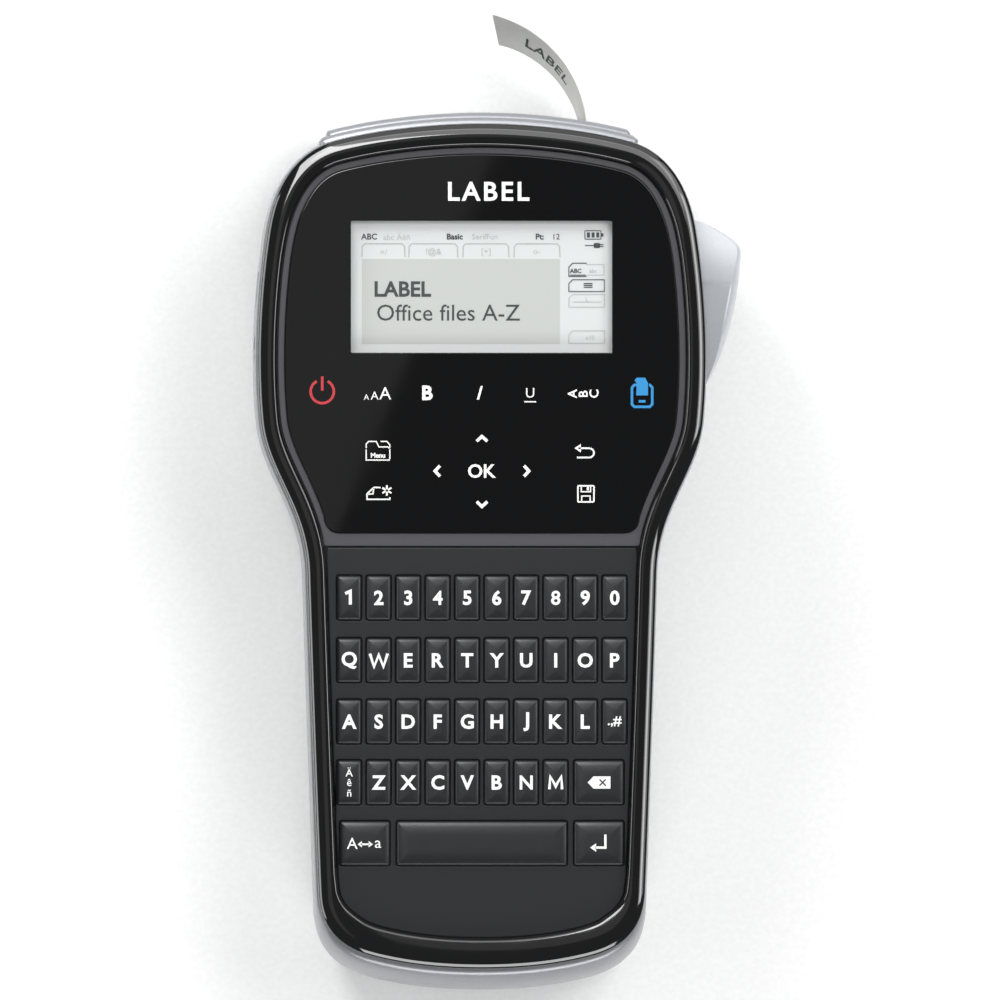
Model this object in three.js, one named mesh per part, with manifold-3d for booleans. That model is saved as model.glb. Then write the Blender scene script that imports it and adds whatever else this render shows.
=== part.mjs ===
// Handheld label printer with a letter keyboard, a display and a side-mounted cutter button.
// It prints on the tape of a drop-in cassette and feeds the label out through its top end.
//
// Frame: millimetres. The printer lies on its flat back: +Z points out of its face, +Y towards the
// label exit and +X to the right seen from the front. The origin is on the back, on the centre line.

import * as THREE from 'three';
import { mergeVertices } from 'three/addons/utils/BufferGeometryUtils.js';
import Module from 'manifold-3d';

const wasm = await Module();
wasm.setup();

// ---- Driving dimensions ----------------------------------------------------------------------

const FIT = 0.3;                    // clearance between touching pieces
const WALL = 2.4;                   // moulded wall of the casings
const SEAM_Z = 38;                  // where the front cover meets the rear casing
const CREST_Z = 55;                 // crest of the glossy rim, the printer's full depth
const FAR = 200;                    // longer than the printer, for cutting blocks

const RIM_WIDTH = 4.3;              // rim seen from the front, at the sides and top
const RIM_CHIN = 7.2;               // rim seen from the front, at the bottom
const BAND_WIDTH = 1.9;             // satin band between the rim and the lens
const LEDGE_Z = 49;                 // ledge that the two front panels rest on
const LEDGE_WIDTH = 1.0;
const LEDGE_DEPTH = 2;
const PANEL_SPLIT_Y = 1.0;          // joint between the head panel and the keypad plate

const SIDE_LIP = 0.9;               // how far the rear casing shows outside the front cover
const HEEL_LIP = 5.3;               // the same, at the bottom end
const HUMP = { left: -38, right: 37, rise: 3.1, from: 80, edge: { size: 3, thickness: 6, segments: 2 } };
const BACK_EDGE = { size: 7, thickness: 12, segments: 4 };
const CAVITY_EDGE = { size: 3.5, thickness: 8, segments: 2 };

const LENS = { bottom: 4.2, z0: 52.2, z1: 53.6 };
const PANEL_TOP_Z = 53;
const KEYPAD_TOP_Z = 52.6;
const WINDOW = { x: 31, y0: 46.8, y1: 78.0, margin: 1.2 };
const DISPLAY = { x: 35, y0: 42, y1: 83, z0: 45.9, z1: 48.9, glassZ: 51.7 };

const KEY = { width: 5.8, length: 10.5, pitch: 6.98, wide: 11.8, wideX: 27.7, space: 40.4 };
const KEY_Z = { bottom: 50.2, top: 54.0, edge: 0.5, gap: 0.25 };
const KEY_ROW_Y = [-11.2, -26.0, -40.5, -54.9, -69.3];

const CASSETTE = { x0: -42.5, x1: 35.5, y0: 24, y1: 78, z0: 5, z1: 23.4, wall: 1.2, corner: 3 };
const NOTCH = { x0: 15.5, x1: 31.5, y0: 62 };
const BAY = { clearance: 1.3, wall: 1.5, z0: 2.7, floorZ: 24, floor: 2, corner: 8 };
const BAY_TOP = CASSETTE.y1 + BAY.clearance;
const LABEL_X = 25.1;               // plane in which the label runs out of the top
const LABEL_Z = 14.2;               // middle of the label's width

const TAPE_SPOOL = { x: -22.5, y: 51, radius: 18, bore: 3.5, z0: 6.8, z1: 21.6 };
const TAKEUP = { x: 8, y: 45, radius: 7.5, shaft: 3.2, gear: 8 };
const PLATEN = { x: 20.6, y: 71, radius: 4, shaft: 1.2, gear: 7 };
const GEAR_Z = { bottom: 26.8, top: 29.8 };

const BUTTON = { z0: 12, z1: 34, pivotX: 50.7, pivotY: 41.5, heel: 3.6 };
const BLADE = { z0: 9, z1: 20 };

const COVER = { z0: 0.3, z1: 2.4, radius: 1.05, hingeY: CASSETTE.y0 - BAY.clearance - BAY.wall };

const BATTERY = { x: 27.5, y0: -89, y1: -31, z0: 3.2, z1: 18.6, clearance: 0.9, wall: 2 };
const BATTERY_LID = { x: 28, y1: -26, z1: 2.4 };

// ---- Materials -------------------------------------------------------------------------------

const material = (color, roughness, metalness) =>
  new THREE.MeshStandardMaterial({ color, roughness, metalness });

const silverPaint = material('#c9ccd0', 0.35, 0.6);
const glossBlack = material('#0c0c0e', 0.08, 0);
const satinGrey = material('#3a3b3f', 0.45, 0);
const lensBlack = material('#050506', 0.04, 0);
const keypadBlack = material('#26272c', 0.55, 0);
const keyBlack = material('#1e1f23', 0.4, 0);
const displayGrey = material('#d8dad8', 0.3, 0);
const mouldedBlack = material('#17181a', 0.5, 0);
const cassetteClear = material('#cfd3d6', 0.25, 0);
const tapeWhite = material('#d9dbd8', 0.4, 0);
const ribbonBlack = material('#202126', 0.4, 0);
const rollerRubber = material('#2b2b2c', 0.8, 0);
const bladeSteel = material('#b9bcc0', 0.25, 1);
const batteryBlue = material('#2b3138', 0.5, 0);

// ---- Solids ----------------------------------------------------------------------------------

function toSolid(geometry) {
  const bare = geometry.clone();
  bare.deleteAttribute('normal');
  bare.deleteAttribute('uv');
  const merged = mergeVertices(bare, 1e-4);
  return new wasm.Manifold(new wasm.Mesh({
    numProp: 3,
    vertProperties: new Float32Array(merged.attributes.position.array),
    triVerts: new Uint32Array(merged.index.array),
  }));
}

function toGeometry(solid) {
  const mesh = solid.getMesh();
  const geometry = new THREE.BufferGeometry();
  geometry.setAttribute('position', new THREE.BufferAttribute(mesh.vertProperties, 3));
  geometry.setIndex(new THREE.BufferAttribute(mesh.triVerts, 1));
  geometry.computeVertexNormals();
  return geometry;
}

// A straight prism of an outline, with an optional rounded edge { size, thickness } at both ends.
function prism(points, z0, z1, edge) {
  const rounding = edge ? edge.thickness : 0;
  const geometry = new THREE.ExtrudeGeometry(new THREE.Shape(points), {
    depth: z1 - z0 - 2 * rounding,
    steps: 1,
    bevelEnabled: Boolean(edge),
    bevelThickness: rounding,
    bevelSize: edge ? edge.size : 0,
    bevelOffset: edge ? -edge.size : 0,
    bevelSegments: edge ? edge.segments ?? 1 : 0,
  });
  geometry.translate(0, 0, z0 + rounding);
  return toSolid(geometry);
}

function block(x0, x1, y0, y1, z0, z1) {
  const geometry = new THREE.BoxGeometry(x1 - x0, y1 - y0, z1 - z0);
  geometry.translate((x0 + x1) / 2, (y0 + y1) / 2, (z0 + z1) / 2);
  return toSolid(geometry);
}

function post(x, y, radius, z0, z1, sides = 20) {
  const geometry = new THREE.CylinderGeometry(radius, radius, z1 - z0, sides);
  geometry.rotateX(Math.PI / 2);
  geometry.translate(x, y, (z0 + z1) / 2);
  return toSolid(geometry);
}

// A turned piece about a vertical axis at x, y; its profile is a list of [radius, z] points.
function turned(x, y, profile, sides = 28) {
  const points = profile.map(([radius, z]) => new THREE.Vector2(radius, z));
  const geometry = new THREE.LatheGeometry(points, sides);
  geometry.rotateX(Math.PI / 2);
  geometry.translate(x, y, 0);
  return geometry;
}

function roundedRect(x0, x1, y0, y1, radius, divisions = 4) {
  const path = new THREE.Path();
  path.absarc(x1 - radius, y0 + radius, radius, -Math.PI / 2, 0);
  path.absarc(x1 - radius, y1 - radius, radius, 0, Math.PI / 2);
  path.absarc(x0 + radius, y1 - radius, radius, Math.PI / 2, Math.PI);
  path.absarc(x0 + radius, y0 + radius, radius, Math.PI, 1.5 * Math.PI);
  return path.getPoints(divisions);
}

// ---- Outlines --------------------------------------------------------------------------------

// Outline of the front cover, counter-clockwise: a wide round-shouldered head, an inward sweep at
// the waist and a slightly tapered grip. Only the right half is drawn; the left half mirrors it.
function frontOutline(divisions = 6) {
  const half = new THREE.Path();
  half.moveTo(0, -99.0);
  half.bezierCurveTo(12, -99.0, 20, -97.6, 26, -96.0);
  half.bezierCurveTo(33.5, -94.0, 38.2, -89.5, 38.6, -81);
  half.bezierCurveTo(39.7, -55, 40.7, -25, 41.3, -5);
  half.bezierCurveTo(41.8, 10, 50.5, 18, 52.2, 29.5);
  half.bezierCurveTo(53.6, 42, 53.2, 60, 50.6, 76);
  half.bezierCurveTo(48.7, 87.7, 43, 95, 34, 97.1);
  half.bezierCurveTo(25, 99.4, 12, 101.0, 0, 101.0);
  const right = half.getPoints(divisions);
  const left = right.slice(1, -1).reverse().map((point) => new THREE.Vector2(-point.x, point.y));
  return [...right, ...left];
}

// Moves every point of a counter-clockwise loop inwards; the distance may depend on the point.
function inset(points, distance) {
  const count = points.length;
  return points.map((point, index) => {
    const before = points[(index + count - 1) % count];
    const after = points[(index + 1) % count];
    const along = after.clone().sub(before).normalize();
    const inward = new THREE.Vector2(-along.y, along.x);
    const amount = typeof distance === 'function' ? distance(point) : distance;
    return point.clone().addScaledVector(inward, amount);
  });
}

// The rear casing stands out a little all round, and more at the heel.
function rearOutline() {
  return inset(frontOutline(), -SIDE_LIP).map((point) => {
    const heel = THREE.MathUtils.smoothstep(-point.y, 50, 90);
    return new THREE.Vector2(point.x, point.y - (HEEL_LIP - SIDE_LIP) * heel);
  });
}

// Inner edge of the glossy rim, which is wider at the chin.
function rimInnerOutline(extra = 0) {
  return inset(frontOutline(), (point) => {
    const chin = THREE.MathUtils.smoothstep(-point.y, 78, 93);
    return THREE.MathUtils.lerp(RIM_WIDTH, RIM_CHIN, chin) + extra;
  });
}

const front = frontOutline();
const rear = rearOutline();

const REAR_TOP = SEAM_Z + 2 * BACK_EDGE.thickness;

// ---- Casings ---------------------------------------------------------------------------------

// The rear casing's outer shape with the raised band around the label exit at its top end.
function rearSolid(growth, z0, z1, edge) {
  const main = prism(inset(rear, -growth), z0, z1, edge);
  const band = block(HUMP.left - growth, HUMP.right + growth, HUMP.from, FAR, z0, z1);
  const hump = prism(inset(front, -HUMP.rise - growth), z0, z1, edge && HUMP.edge);
  return main.add(hump.intersect(band));
}

function rearCasing() {
  const above = block(-FAR, FAR, -FAR, FAR, SEAM_Z - FIT, FAR);
  const outer = rearSolid(0, 0, REAR_TOP, BACK_EDGE).subtract(above);
  const cavity = rearSolid(-WALL, WALL, FAR, CAVITY_EDGE);
  const tub = batteryTub().intersect(rearSolid(-WALL / 2, 0, REAR_TOP, BACK_EDGE));

  const coverSeat = prism(bayOutline(BAY.wall + 0.7 + FIT, BAY.corner), -1, BAY.z0);
  const lidSeat = block(
    -BATTERY_LID.x - FIT, BATTERY_LID.x + FIT, -FAR, BATTERY_LID.y1 + FIT, -1, BATTERY_LID.z1 + FIT);
  const hingeSeat = block(
    CASSETTE.x0 - 2, CASSETTE.x1 + 2, COVER.hingeY - COVER.radius - 2 * FIT, COVER.hingeY + 2,
    -1, BAY.z0);
  const thumbNotch = block(-12, 5, 80, BAY_TOP + 5, -1, 1.2);
  const buttonSlot = block(44, FAR, BUTTON.pivotY - BUTTON.heel - 0.7, 79.4, 11.5, 34.5);
  const exitSlot = block(LABEL_X - 2.6, LABEL_X + 2.6, 90, FAR, 6.2, 22.2);

  return outer
    .subtract(cavity)
    .add(tub)
    .subtract(batteryPocket())
    .subtract(coverSeat)
    .subtract(hingeSeat)
    .subtract(lidSeat)
    .subtract(thumbNotch)
    .subtract(buttonSlot)
    .subtract(exitSlot);
}

// Walls around the battery, moulded into the rear casing, and the floor above the lid's lower end.
function batteryTub() {
  const side = BATTERY.x + BATTERY.clearance + BATTERY.wall;
  const end = BATTERY.clearance + BATTERY.wall;
  const walls = block(
    -side, side, BATTERY.y0 - end, BATTERY.y1 + end, 1, BATTERY.z1 + BATTERY.clearance + BATTERY.wall);
  const sill = block(-side, side, -FAR, BATTERY.y0, 1, 2 * WALL + FIT);
  return walls.add(sill);
}

function batteryPocket() {
  const room = BATTERY.clearance;
  return block(
    -BATTERY.x - room, BATTERY.x + room, BATTERY.y0 - room, BATTERY.y1 + room,
    -1, BATTERY.z1 + room);
}

function frontCover() {
  const edge = { size: 2.8, thickness: 3.6, segments: 4 };
  const below = block(-FAR, FAR, -FAR, FAR, -FAR, SEAM_Z);
  const outer = prism(front, SEAM_Z - 2 * edge.thickness, CREST_Z, edge).subtract(below);
  const cavity = prism(inset(front, WALL), 0, LEDGE_Z - LEDGE_DEPTH);
  const throat = prism(rimInnerOutline(LEDGE_WIDTH), 0, FAR);
  const pocket = prism(rimInnerOutline(), LEDGE_Z, FAR);
  return outer.subtract(cavity).subtract(throat).subtract(pocket);
}

// ---- Front panels, lens and display ----------------------------------------------------------

function headPanel() {
  const lower = block(-FAR, FAR, -FAR, PANEL_SPLIT_Y, 0, FAR);
  const margin = WINDOW.margin + FIT;
  const plate = prism(rimInnerOutline(FIT), LEDGE_Z + FIT, PANEL_TOP_Z).subtract(lower);
  const window = block(
    -WINDOW.x - margin, WINDOW.x + margin, WINDOW.y0 - margin, WINDOW.y1 + margin, 0, FAR);
  const lensSeat = prism(rimInnerOutline(BAND_WIDTH - FIT), LENS.z0 - FIT, FAR)
    .subtract(block(-FAR, FAR, -FAR, LENS.bottom - FIT, 0, FAR));
  return plate.subtract(window).subtract(lensSeat);
}

function screenLens() {
  return prism(rimInnerOutline(BAND_WIDTH), LENS.z0, LENS.z1)
    .subtract(block(-FAR, FAR, -FAR, LENS.bottom, 0, FAR));
}

function displayModule() {
  const frame = block(-DISPLAY.x, DISPLAY.x, DISPLAY.y0, DISPLAY.y1, DISPLAY.z0, DISPLAY.z1);
  const glass = block(
    -WINDOW.x - WINDOW.margin, WINDOW.x + WINDOW.margin,
    WINDOW.y0 - WINDOW.margin, WINDOW.y1 + WINDOW.margin, DISPLAY.z0, DISPLAY.glassZ);
  return frame.add(glass);
}

// ---- Keys ------------------------------------------------------------------------------------

// Every key as { name, x, y, width }; the first three rows are full, the last two have wide keys.
function keyLayout() {
  const column = (index) => (index - 4.5) * KEY.pitch;
  const keys = [];
  const addRow = (row, names, firstColumn = 0) => {
    names.forEach((name, index) => {
      const x = column(firstColumn + index);
      keys.push({ name: `key_${name}`, x, y: KEY_ROW_Y[row], width: KEY.width });
    });
  };
  addRow(0, [...'1234567890']);
  addRow(1, [...'qwertyuiop']);
  addRow(2, [...'asdfghjkl', 'punctuation']);
  addRow(3, ['accent', ...'zxcvbnm']);
  keys.push({ name: 'key_backspace', x: KEY.wideX, y: KEY_ROW_Y[3], width: KEY.wide });
  keys.push({ name: 'key_caps', x: -KEY.wideX, y: KEY_ROW_Y[4], width: KEY.wide });
  keys.push({ name: 'key_space', x: 0, y: KEY_ROW_Y[4], width: KEY.space });
  keys.push({ name: 'key_enter', x: KEY.wideX, y: KEY_ROW_Y[4], width: KEY.wide });
  return keys;
}

const keys = keyLayout();

function keyCap(width) {
  const x = width / 2;
  const y = KEY.length / 2;
  const outline = [[-x, -y], [x, -y], [x, y], [-x, y]].map((corner) => new THREE.Vector2(...corner));
  return prism(outline, 0, KEY_Z.top - KEY_Z.bottom, { size: KEY_Z.edge, thickness: KEY_Z.edge });
}

function keypadPlate() {
  const upper = block(-FAR, FAR, PANEL_SPLIT_Y - FIT, FAR, 0, FAR);
  const plate = prism(rimInnerOutline(FIT), LEDGE_Z + FIT, KEYPAD_TOP_Z).subtract(upper);
  const openings = keys.map(({ x, y, width }) => {
    const halfWidth = width / 2 + KEY_Z.gap;
    const halfLength = KEY.length / 2 + KEY_Z.gap;
    return block(x - halfWidth, x + halfWidth, y - halfLength, y + halfLength, 0, FAR);
  });
  return openings.reduce((solid, opening) => solid.subtract(opening), plate);
}

// ---- Cassette bay, covers and battery --------------------------------------------------------

// The bay's inner outline around the cassette, grown outwards by a margin.
function bayOutline(margin, corner) {
  const room = BAY.clearance + margin;
  return roundedRect(
    CASSETTE.x0 - room, CASSETTE.x1 + room, CASSETTE.y0 - room, CASSETTE.y1 + room, corner);
}

function cassetteBay() {
  const ring = prism(bayOutline(BAY.wall, BAY.corner), BAY.z0, BAY.floorZ + 0.5)
    .subtract(prism(bayOutline(0, BAY.corner - BAY.wall), 0, BAY.floorZ));
  const plate = prism(inset(rear, WALL + 0.6), BAY.floorZ, BAY.floorZ + BAY.floor)
    .intersect(block(-FAR, 40.8, CASSETTE.y0 - 5, 97, 0, FAR));
  const anvil = block(18.5, 22.6, 92.5, 97, 7, BAY.floorZ + 0.5);
  const labelGap = block(NOTCH.x0, NOTCH.x1 + 1.5, BAY_TOP - 1, BAY_TOP + 3, 0, BAY.floorZ);
  const platenHole = post(PLATEN.x, PLATEN.y, PLATEN.shaft + 0.5, 0, FAR);
  const takeupHole = post(TAKEUP.x, TAKEUP.y, TAKEUP.shaft + 0.6, 0, FAR);
  return ring.add(plate).add(anvil).subtract(labelGap).subtract(platenHole).subtract(takeupHole);
}

// A thin door with a round hinge edge along its lower end.
function cassetteCover() {
  const { radius } = COVER;
  const barrelLength = CASSETTE.x1 - CASSETTE.x0 - 2 * BAY.corner;
  const barrel = new THREE.CylinderGeometry(radius, radius, barrelLength, 16);
  barrel.rotateZ(Math.PI / 2);
  barrel.translate((CASSETTE.x0 + CASSETTE.x1) / 2, COVER.hingeY, COVER.z0 + radius);
  return prism(bayOutline(BAY.wall + 0.7, BAY.corner), COVER.z0, COVER.z1)
    .subtract(block(-FAR, FAR, -FAR, COVER.hingeY, -1, 5))
    .add(toSolid(barrel));
}

function batteryCover() {
  const lid = block(-BATTERY_LID.x, BATTERY_LID.x, -FAR, BATTERY_LID.y1, 0.3, BATTERY_LID.z1);
  return rearSolid(0, 0, REAR_TOP, BACK_EDGE).intersect(lid);
}

function batteryPack() {
  const outline = roundedRect(-BATTERY.x, BATTERY.x, BATTERY.y0, BATTERY.y1, 4, 3);
  return prism(outline, BATTERY.z0, BATTERY.z1, { size: 1, thickness: 1 });
}

// ---- Cassette and print mechanism ------------------------------------------------------------

function tapeCassette() {
  const { x0, x1, y0, y1, z0, z1, wall, corner } = CASSETTE;
  const shell = prism(roundedRect(x0, x1, y0, y1, corner, 3), z0, z1);
  const notch = block(NOTCH.x0, NOTCH.x1, NOTCH.y0, FAR, 0, FAR);
  const leftRoom = block(x0 + wall, NOTCH.x0 - wall, y0 + wall, y1 - wall, z0 + wall, z1 - wall);
  const lowerRoom = block(x0 + wall, x1 - wall, y0 + wall, NOTCH.y0 - wall, z0 + wall, z1 - wall);
  const spoolPost = post(TAPE_SPOOL.x, TAPE_SPOOL.y, TAPE_SPOOL.bore - 0.5, z0 + 0.2, z1 - 0.2);
  const spindleHole = post(TAKEUP.x, TAKEUP.y, TAKEUP.shaft + 0.6, z1 - 2 * wall, FAR);
  const sightHole = block(-18, -12, 60, 66, 0, z0 + 2 * wall);
  return shell
    .subtract(notch)
    .subtract(leftRoom.add(lowerRoom))
    .add(spoolPost)
    .subtract(spindleHole)
    .subtract(sightHole);
}

function tapeSpool() {
  const { x, y, bore, radius, z0, z1 } = TAPE_SPOOL;
  return turned(x, y, [[bore, z0], [radius, z0], [radius, z1], [bore, z1], [bore, z0]], 36);
}

// The ribbon's take-up spool with the splined spindle and the gear that turn it.
function takeupSpool() {
  const { x, y, radius, shaft, gear } = TAKEUP;
  const { z0, z1 } = TAPE_SPOOL;
  return turned(x, y, [
    [0, z0], [radius, z0], [radius, z1], [shaft, z1], [shaft, GEAR_Z.bottom],
    [gear, GEAR_Z.bottom], [gear, GEAR_Z.top], [0, GEAR_Z.top],
  ]);
}

function platenRoller() {
  const { x, y, radius, shaft, gear } = PLATEN;
  return turned(x, y, [
    [0, 6.6], [shaft, 6.6], [shaft, 7.2], [radius, 7.2], [radius, 21.4], [shaft, 21.4],
    [shaft, GEAR_Z.bottom], [gear, GEAR_Z.bottom], [gear, GEAR_Z.top], [0, GEAR_Z.top],
  ], 24);
}

function printHead() {
  const sink = block(26.8, 29.6, 63.5, 77.5, 6.5, BAY.floorZ - FIT);
  const contactRib = block(25.6, 27, PLATEN.y - 1.5, PLATEN.y + 1.5, 7.2, 21.4);
  return sink.add(contactRib);
}

// ---- Cutter ----------------------------------------------------------------------------------

// A lever that pivots at its lower end; its outer face is the button and its nub pushes the blade.
function cutterButton() {
  const { pivotX, pivotY, heel, z0, z1 } = BUTTON;
  const path = new THREE.Path();
  path.moveTo(46.0, 70.5);
  path.absarc(pivotX, pivotY, heel, Math.PI, (11 / 6) * Math.PI);
  path.bezierCurveTo(56.2, 43.5, 61.2, 54.5, 62.0, 70.6);
  path.quadraticCurveTo(62.1, 72.2, 60.6, 73.6);
  path.quadraticCurveTo(56.5, 77.0, 51.2, 78.6);
  path.lineTo(49.2, 78.2);
  path.lineTo(46.6, 75.5);
  return prism(path.getPoints(5), z0, z1, { size: 1.2, thickness: 1.4, segments: 2 });
}

// The blade and its carriage are one stiff piece, which slides towards the label.
function cutterBlade() {
  const outline = [
    [28.5, 95.4], [30.5, 94.4], [33.6, 93.4], [43.2, 81.0], [43.2, 70.0],
    [45.5, 70.0], [45.5, 81.5], [35.6, 93.6], [33.4, 96.2], [30.5, 96.2],
  ].map((point) => new THREE.Vector2(...point)).reverse();
  return prism(outline, BLADE.z0, BLADE.z1);
}

// ---- Printed label ---------------------------------------------------------------------------

// A thin strip that leaves the exit edge-on, curls to the left on an arc and leans over as it goes.
function labelTape() {
  const width = 12;
  const thickness = 0.25;
  const curl = { radius: 27.7, turn: THREE.MathUtils.degToRad(76) };
  const startY = 97.3;
  const length = curl.radius * curl.turn;
  const strip = new THREE.BoxGeometry(thickness, length, width, 1, 32, 1);
  strip.translate(0, length / 2, 0);
  const place = strip.attributes.position;
  for (let index = 0; index < place.count; index += 1) {
    const angle = place.getY(index) / curl.radius;
    const lean = THREE.MathUtils.degToRad(THREE.MathUtils.lerp(3, 32, angle / curl.turn));
    const across = place.getX(index) * Math.cos(lean) + place.getZ(index) * Math.sin(lean);
    const height = place.getZ(index) * Math.cos(lean) - place.getX(index) * Math.sin(lean);
    const reach = curl.radius + across;
    const x = LABEL_X - curl.radius + reach * Math.cos(angle);
    const y = startY + reach * Math.sin(angle);
    place.setXYZ(index, x, y, LABEL_Z + height);
  }
  strip.computeVertexNormals();
  return strip;
}

// ---- Assembly --------------------------------------------------------------------------------

const group = new THREE.Group();

function addPiece(parent, name, shape, finish) {
  const geometry = shape instanceof THREE.BufferGeometry ? shape : toGeometry(shape);
  const mesh = new THREE.Mesh(geometry, finish);
  mesh.name = name;
  parent.add(mesh);
  return mesh;
}

const casing = new THREE.Group();
addPiece(casing, 'rear_casing', rearCasing(), silverPaint);
addPiece(casing, 'front_cover', frontCover(), glossBlack);
addPiece(casing, 'head_panel', headPanel(), satinGrey);
addPiece(casing, 'screen_lens', screenLens(), lensBlack);
addPiece(casing, 'keypad_plate', keypadPlate(), keypadBlack);
addPiece(casing, 'lcd_module', displayModule(), displayGrey);
addPiece(casing, 'battery_pack', batteryPack(), batteryBlue);
addPiece(casing, 'battery_cover', batteryCover(), silverPaint);
addPiece(casing, 'cassette_cover', cassetteCover(), silverPaint);
group.add(casing);

const printer = new THREE.Group();
addPiece(printer, 'cassette_bay', cassetteBay(), mouldedBlack);
addPiece(printer, 'tape_cassette', tapeCassette(), cassetteClear);
addPiece(printer, 'tape_spool', tapeSpool(), tapeWhite);
addPiece(printer, 'takeup_spool', takeupSpool(), ribbonBlack);
addPiece(printer, 'platen_roller', platenRoller(), rollerRubber);
addPiece(printer, 'print_head', printHead(), bladeSteel);
addPiece(printer, 'cutter_button', cutterButton(), silverPaint);
addPiece(printer, 'cutter_blade', cutterBlade(), bladeSteel);
addPiece(printer, 'label_tape', labelTape(), tapeWhite);
group.add(printer);

const keyboard = new THREE.Group();
keyboard.position.z = KEY_Z.bottom;
for (const { name, x, y, width } of keys) {
  const key = addPiece(keyboard, name, keyCap(width), keyBlack);
  key.position.set(x, y, 0);
}
group.add(keyboard);

export default group;
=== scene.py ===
"""The looks of a handheld label printer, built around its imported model."""

import math
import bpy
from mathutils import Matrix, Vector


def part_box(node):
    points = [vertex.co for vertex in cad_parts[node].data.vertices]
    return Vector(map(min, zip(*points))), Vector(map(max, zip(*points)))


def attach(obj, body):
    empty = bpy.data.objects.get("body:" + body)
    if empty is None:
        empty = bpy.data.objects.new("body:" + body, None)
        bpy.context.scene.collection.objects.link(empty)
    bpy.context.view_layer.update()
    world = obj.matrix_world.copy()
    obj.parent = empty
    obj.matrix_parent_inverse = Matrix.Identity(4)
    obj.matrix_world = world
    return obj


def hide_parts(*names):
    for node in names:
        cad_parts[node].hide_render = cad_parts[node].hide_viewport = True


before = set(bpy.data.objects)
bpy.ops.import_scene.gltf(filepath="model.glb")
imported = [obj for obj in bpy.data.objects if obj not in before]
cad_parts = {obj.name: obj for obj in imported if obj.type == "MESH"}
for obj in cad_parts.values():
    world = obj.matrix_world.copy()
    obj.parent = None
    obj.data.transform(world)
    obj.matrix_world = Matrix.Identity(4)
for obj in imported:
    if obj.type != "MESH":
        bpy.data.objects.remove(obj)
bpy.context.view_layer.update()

from types import SimpleNamespace

import bmesh
import bpy
from bpy.props import FloatProperty, FloatVectorProperty, PointerProperty
from mathutils import Matrix, Vector
from mathutils.geometry import interpolate_bezier

bl_info = {
    "name": "Label printer",
    "version": (1, 0, 0),
    "blender": (4, 5, 0),
    "location": "3D View > Sidebar > Label printer",
    "description": "Builds the casing, keys, lens, cutter and label of a handheld label printer",
    "category": "Mesh",
}

ROOT = "housing"
MM = 0.001  # shapes are drawn in millimetres and scaled once, when a piece is finished


# ---- Sizes and colours that a user would change ------------------------------------------------


def size(name, millimetres, description):
    """A length whose default is given in millimetres."""
    return FloatProperty(name=name, description=description, default=millimetres * MM, min=0.0,
                         precision=5, unit="LENGTH")


def linear(value):
    """Linear RGBA of an sRGB hex text, or of a colour property, which is linear already."""
    if not isinstance(value, str):
        return [*value, 1.0]
    channels = [int(value[index : index + 2], 16) / 255 for index in (0, 2, 4)]
    return [c / 12.92 if c <= 0.04045 else ((c + 0.055) / 1.055) ** 2.4 for c in channels] + [1.0]


def colour(name, hex_colour, description):
    """A colour whose default is given as an sRGB hex value."""
    return FloatVectorProperty(name=name, description=description, min=0.0, max=1.0,
                               default=linear(hex_colour)[:3], subtype="COLOR")


class LabelPrinterSizes(bpy.types.PropertyGroup):
    """Lengths; the defaults are in millimetres."""

    rim_width: size("Rim width", 4.5, "Glossy rim seen from the front, along the sides")
    rim_brow: size("Rim width at the top", 5.4, "Glossy rim seen from the front, above the lens")
    rim_chin: size("Rim at the chin", 7.2, "Glossy rim seen from the front, at the bottom")
    band_width: size("Satin band", 1.9, "Band between the rim and the lens")
    heel_lip: size("Heel lip", 5.3, "How far the silver casing shows below the front cover")
    side_lip: size("Side lip", 0.9, "How far the silver casing shows beside the front cover")
    key_corner: size("Key corner", 0.45, "Radius of a key's corners")
    key_legend: size("Key legend", 4.6, "Type size of the key legends")
    ink: size("Ink height", 0.04, "How far printed ink stands above its surface")


class LabelPrinterColours(bpy.types.PropertyGroup):
    """Base colours; the defaults are sRGB hex values."""

    # Silver paint and button paint are one paint in two tones: the button's paler tone is painted
    # light, the casing's darker tone painted shade.
    silver: colour("Silver paint", "8c8e92", "Rear casing and covers")
    button: colour("Button silver, painted highlight", "b6b9be", "Cutter button")
    gloss_black: colour("Gloss black", "0a0a0b", "Front cover")
    satin_band: colour("Satin band", "323137", "Panel that frames the lens")
    lens: colour("Lens", "050506", "Back-printed display lens")
    keypad: colour("Keypad plate", "0e0f12", "Plate around the keys")
    key: colour("Keys", "121417", "Silicone keys")
    legend: colour("Legends", "f4f4f2", "White ink")
    power: colour("Power icon", "b81c2a", "Red ink")
    printing: colour("Print icon", "0586c4", "Blue ink")
    display: colour("Display", "d3d6d5", "Unlit display")
    display_area: colour("Display text area", "bfc2bf", "Switched-on text area")
    label: colour("Label", "cfcfc9", "Translucent label film")


def sizes():
    """The lengths that a user can change, in millimetres."""
    group = bpy.context.scene.label_printer_sizes
    return SimpleNamespace(**{key: round(getattr(group, key) / MM, 4)
                              for key in LabelPrinterSizes.__annotations__})


def colours():
    """The colours that a user can change."""
    return bpy.context.scene.label_printer_colours


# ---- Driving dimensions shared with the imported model, in millimetres ---------------------------

SEAM_Z = 38.0
CREST_Z = 55.0
LEDGE_Z = 49.0
WALL = 2.4
FIT = 0.3


def node_box(node):
    """Lowest and highest corner of a CAD node, in millimetres."""
    low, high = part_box(node)
    return Vector(low) / MM, Vector(high) / MM


# ---- Materials ---------------------------------------------------------------------------------


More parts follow.
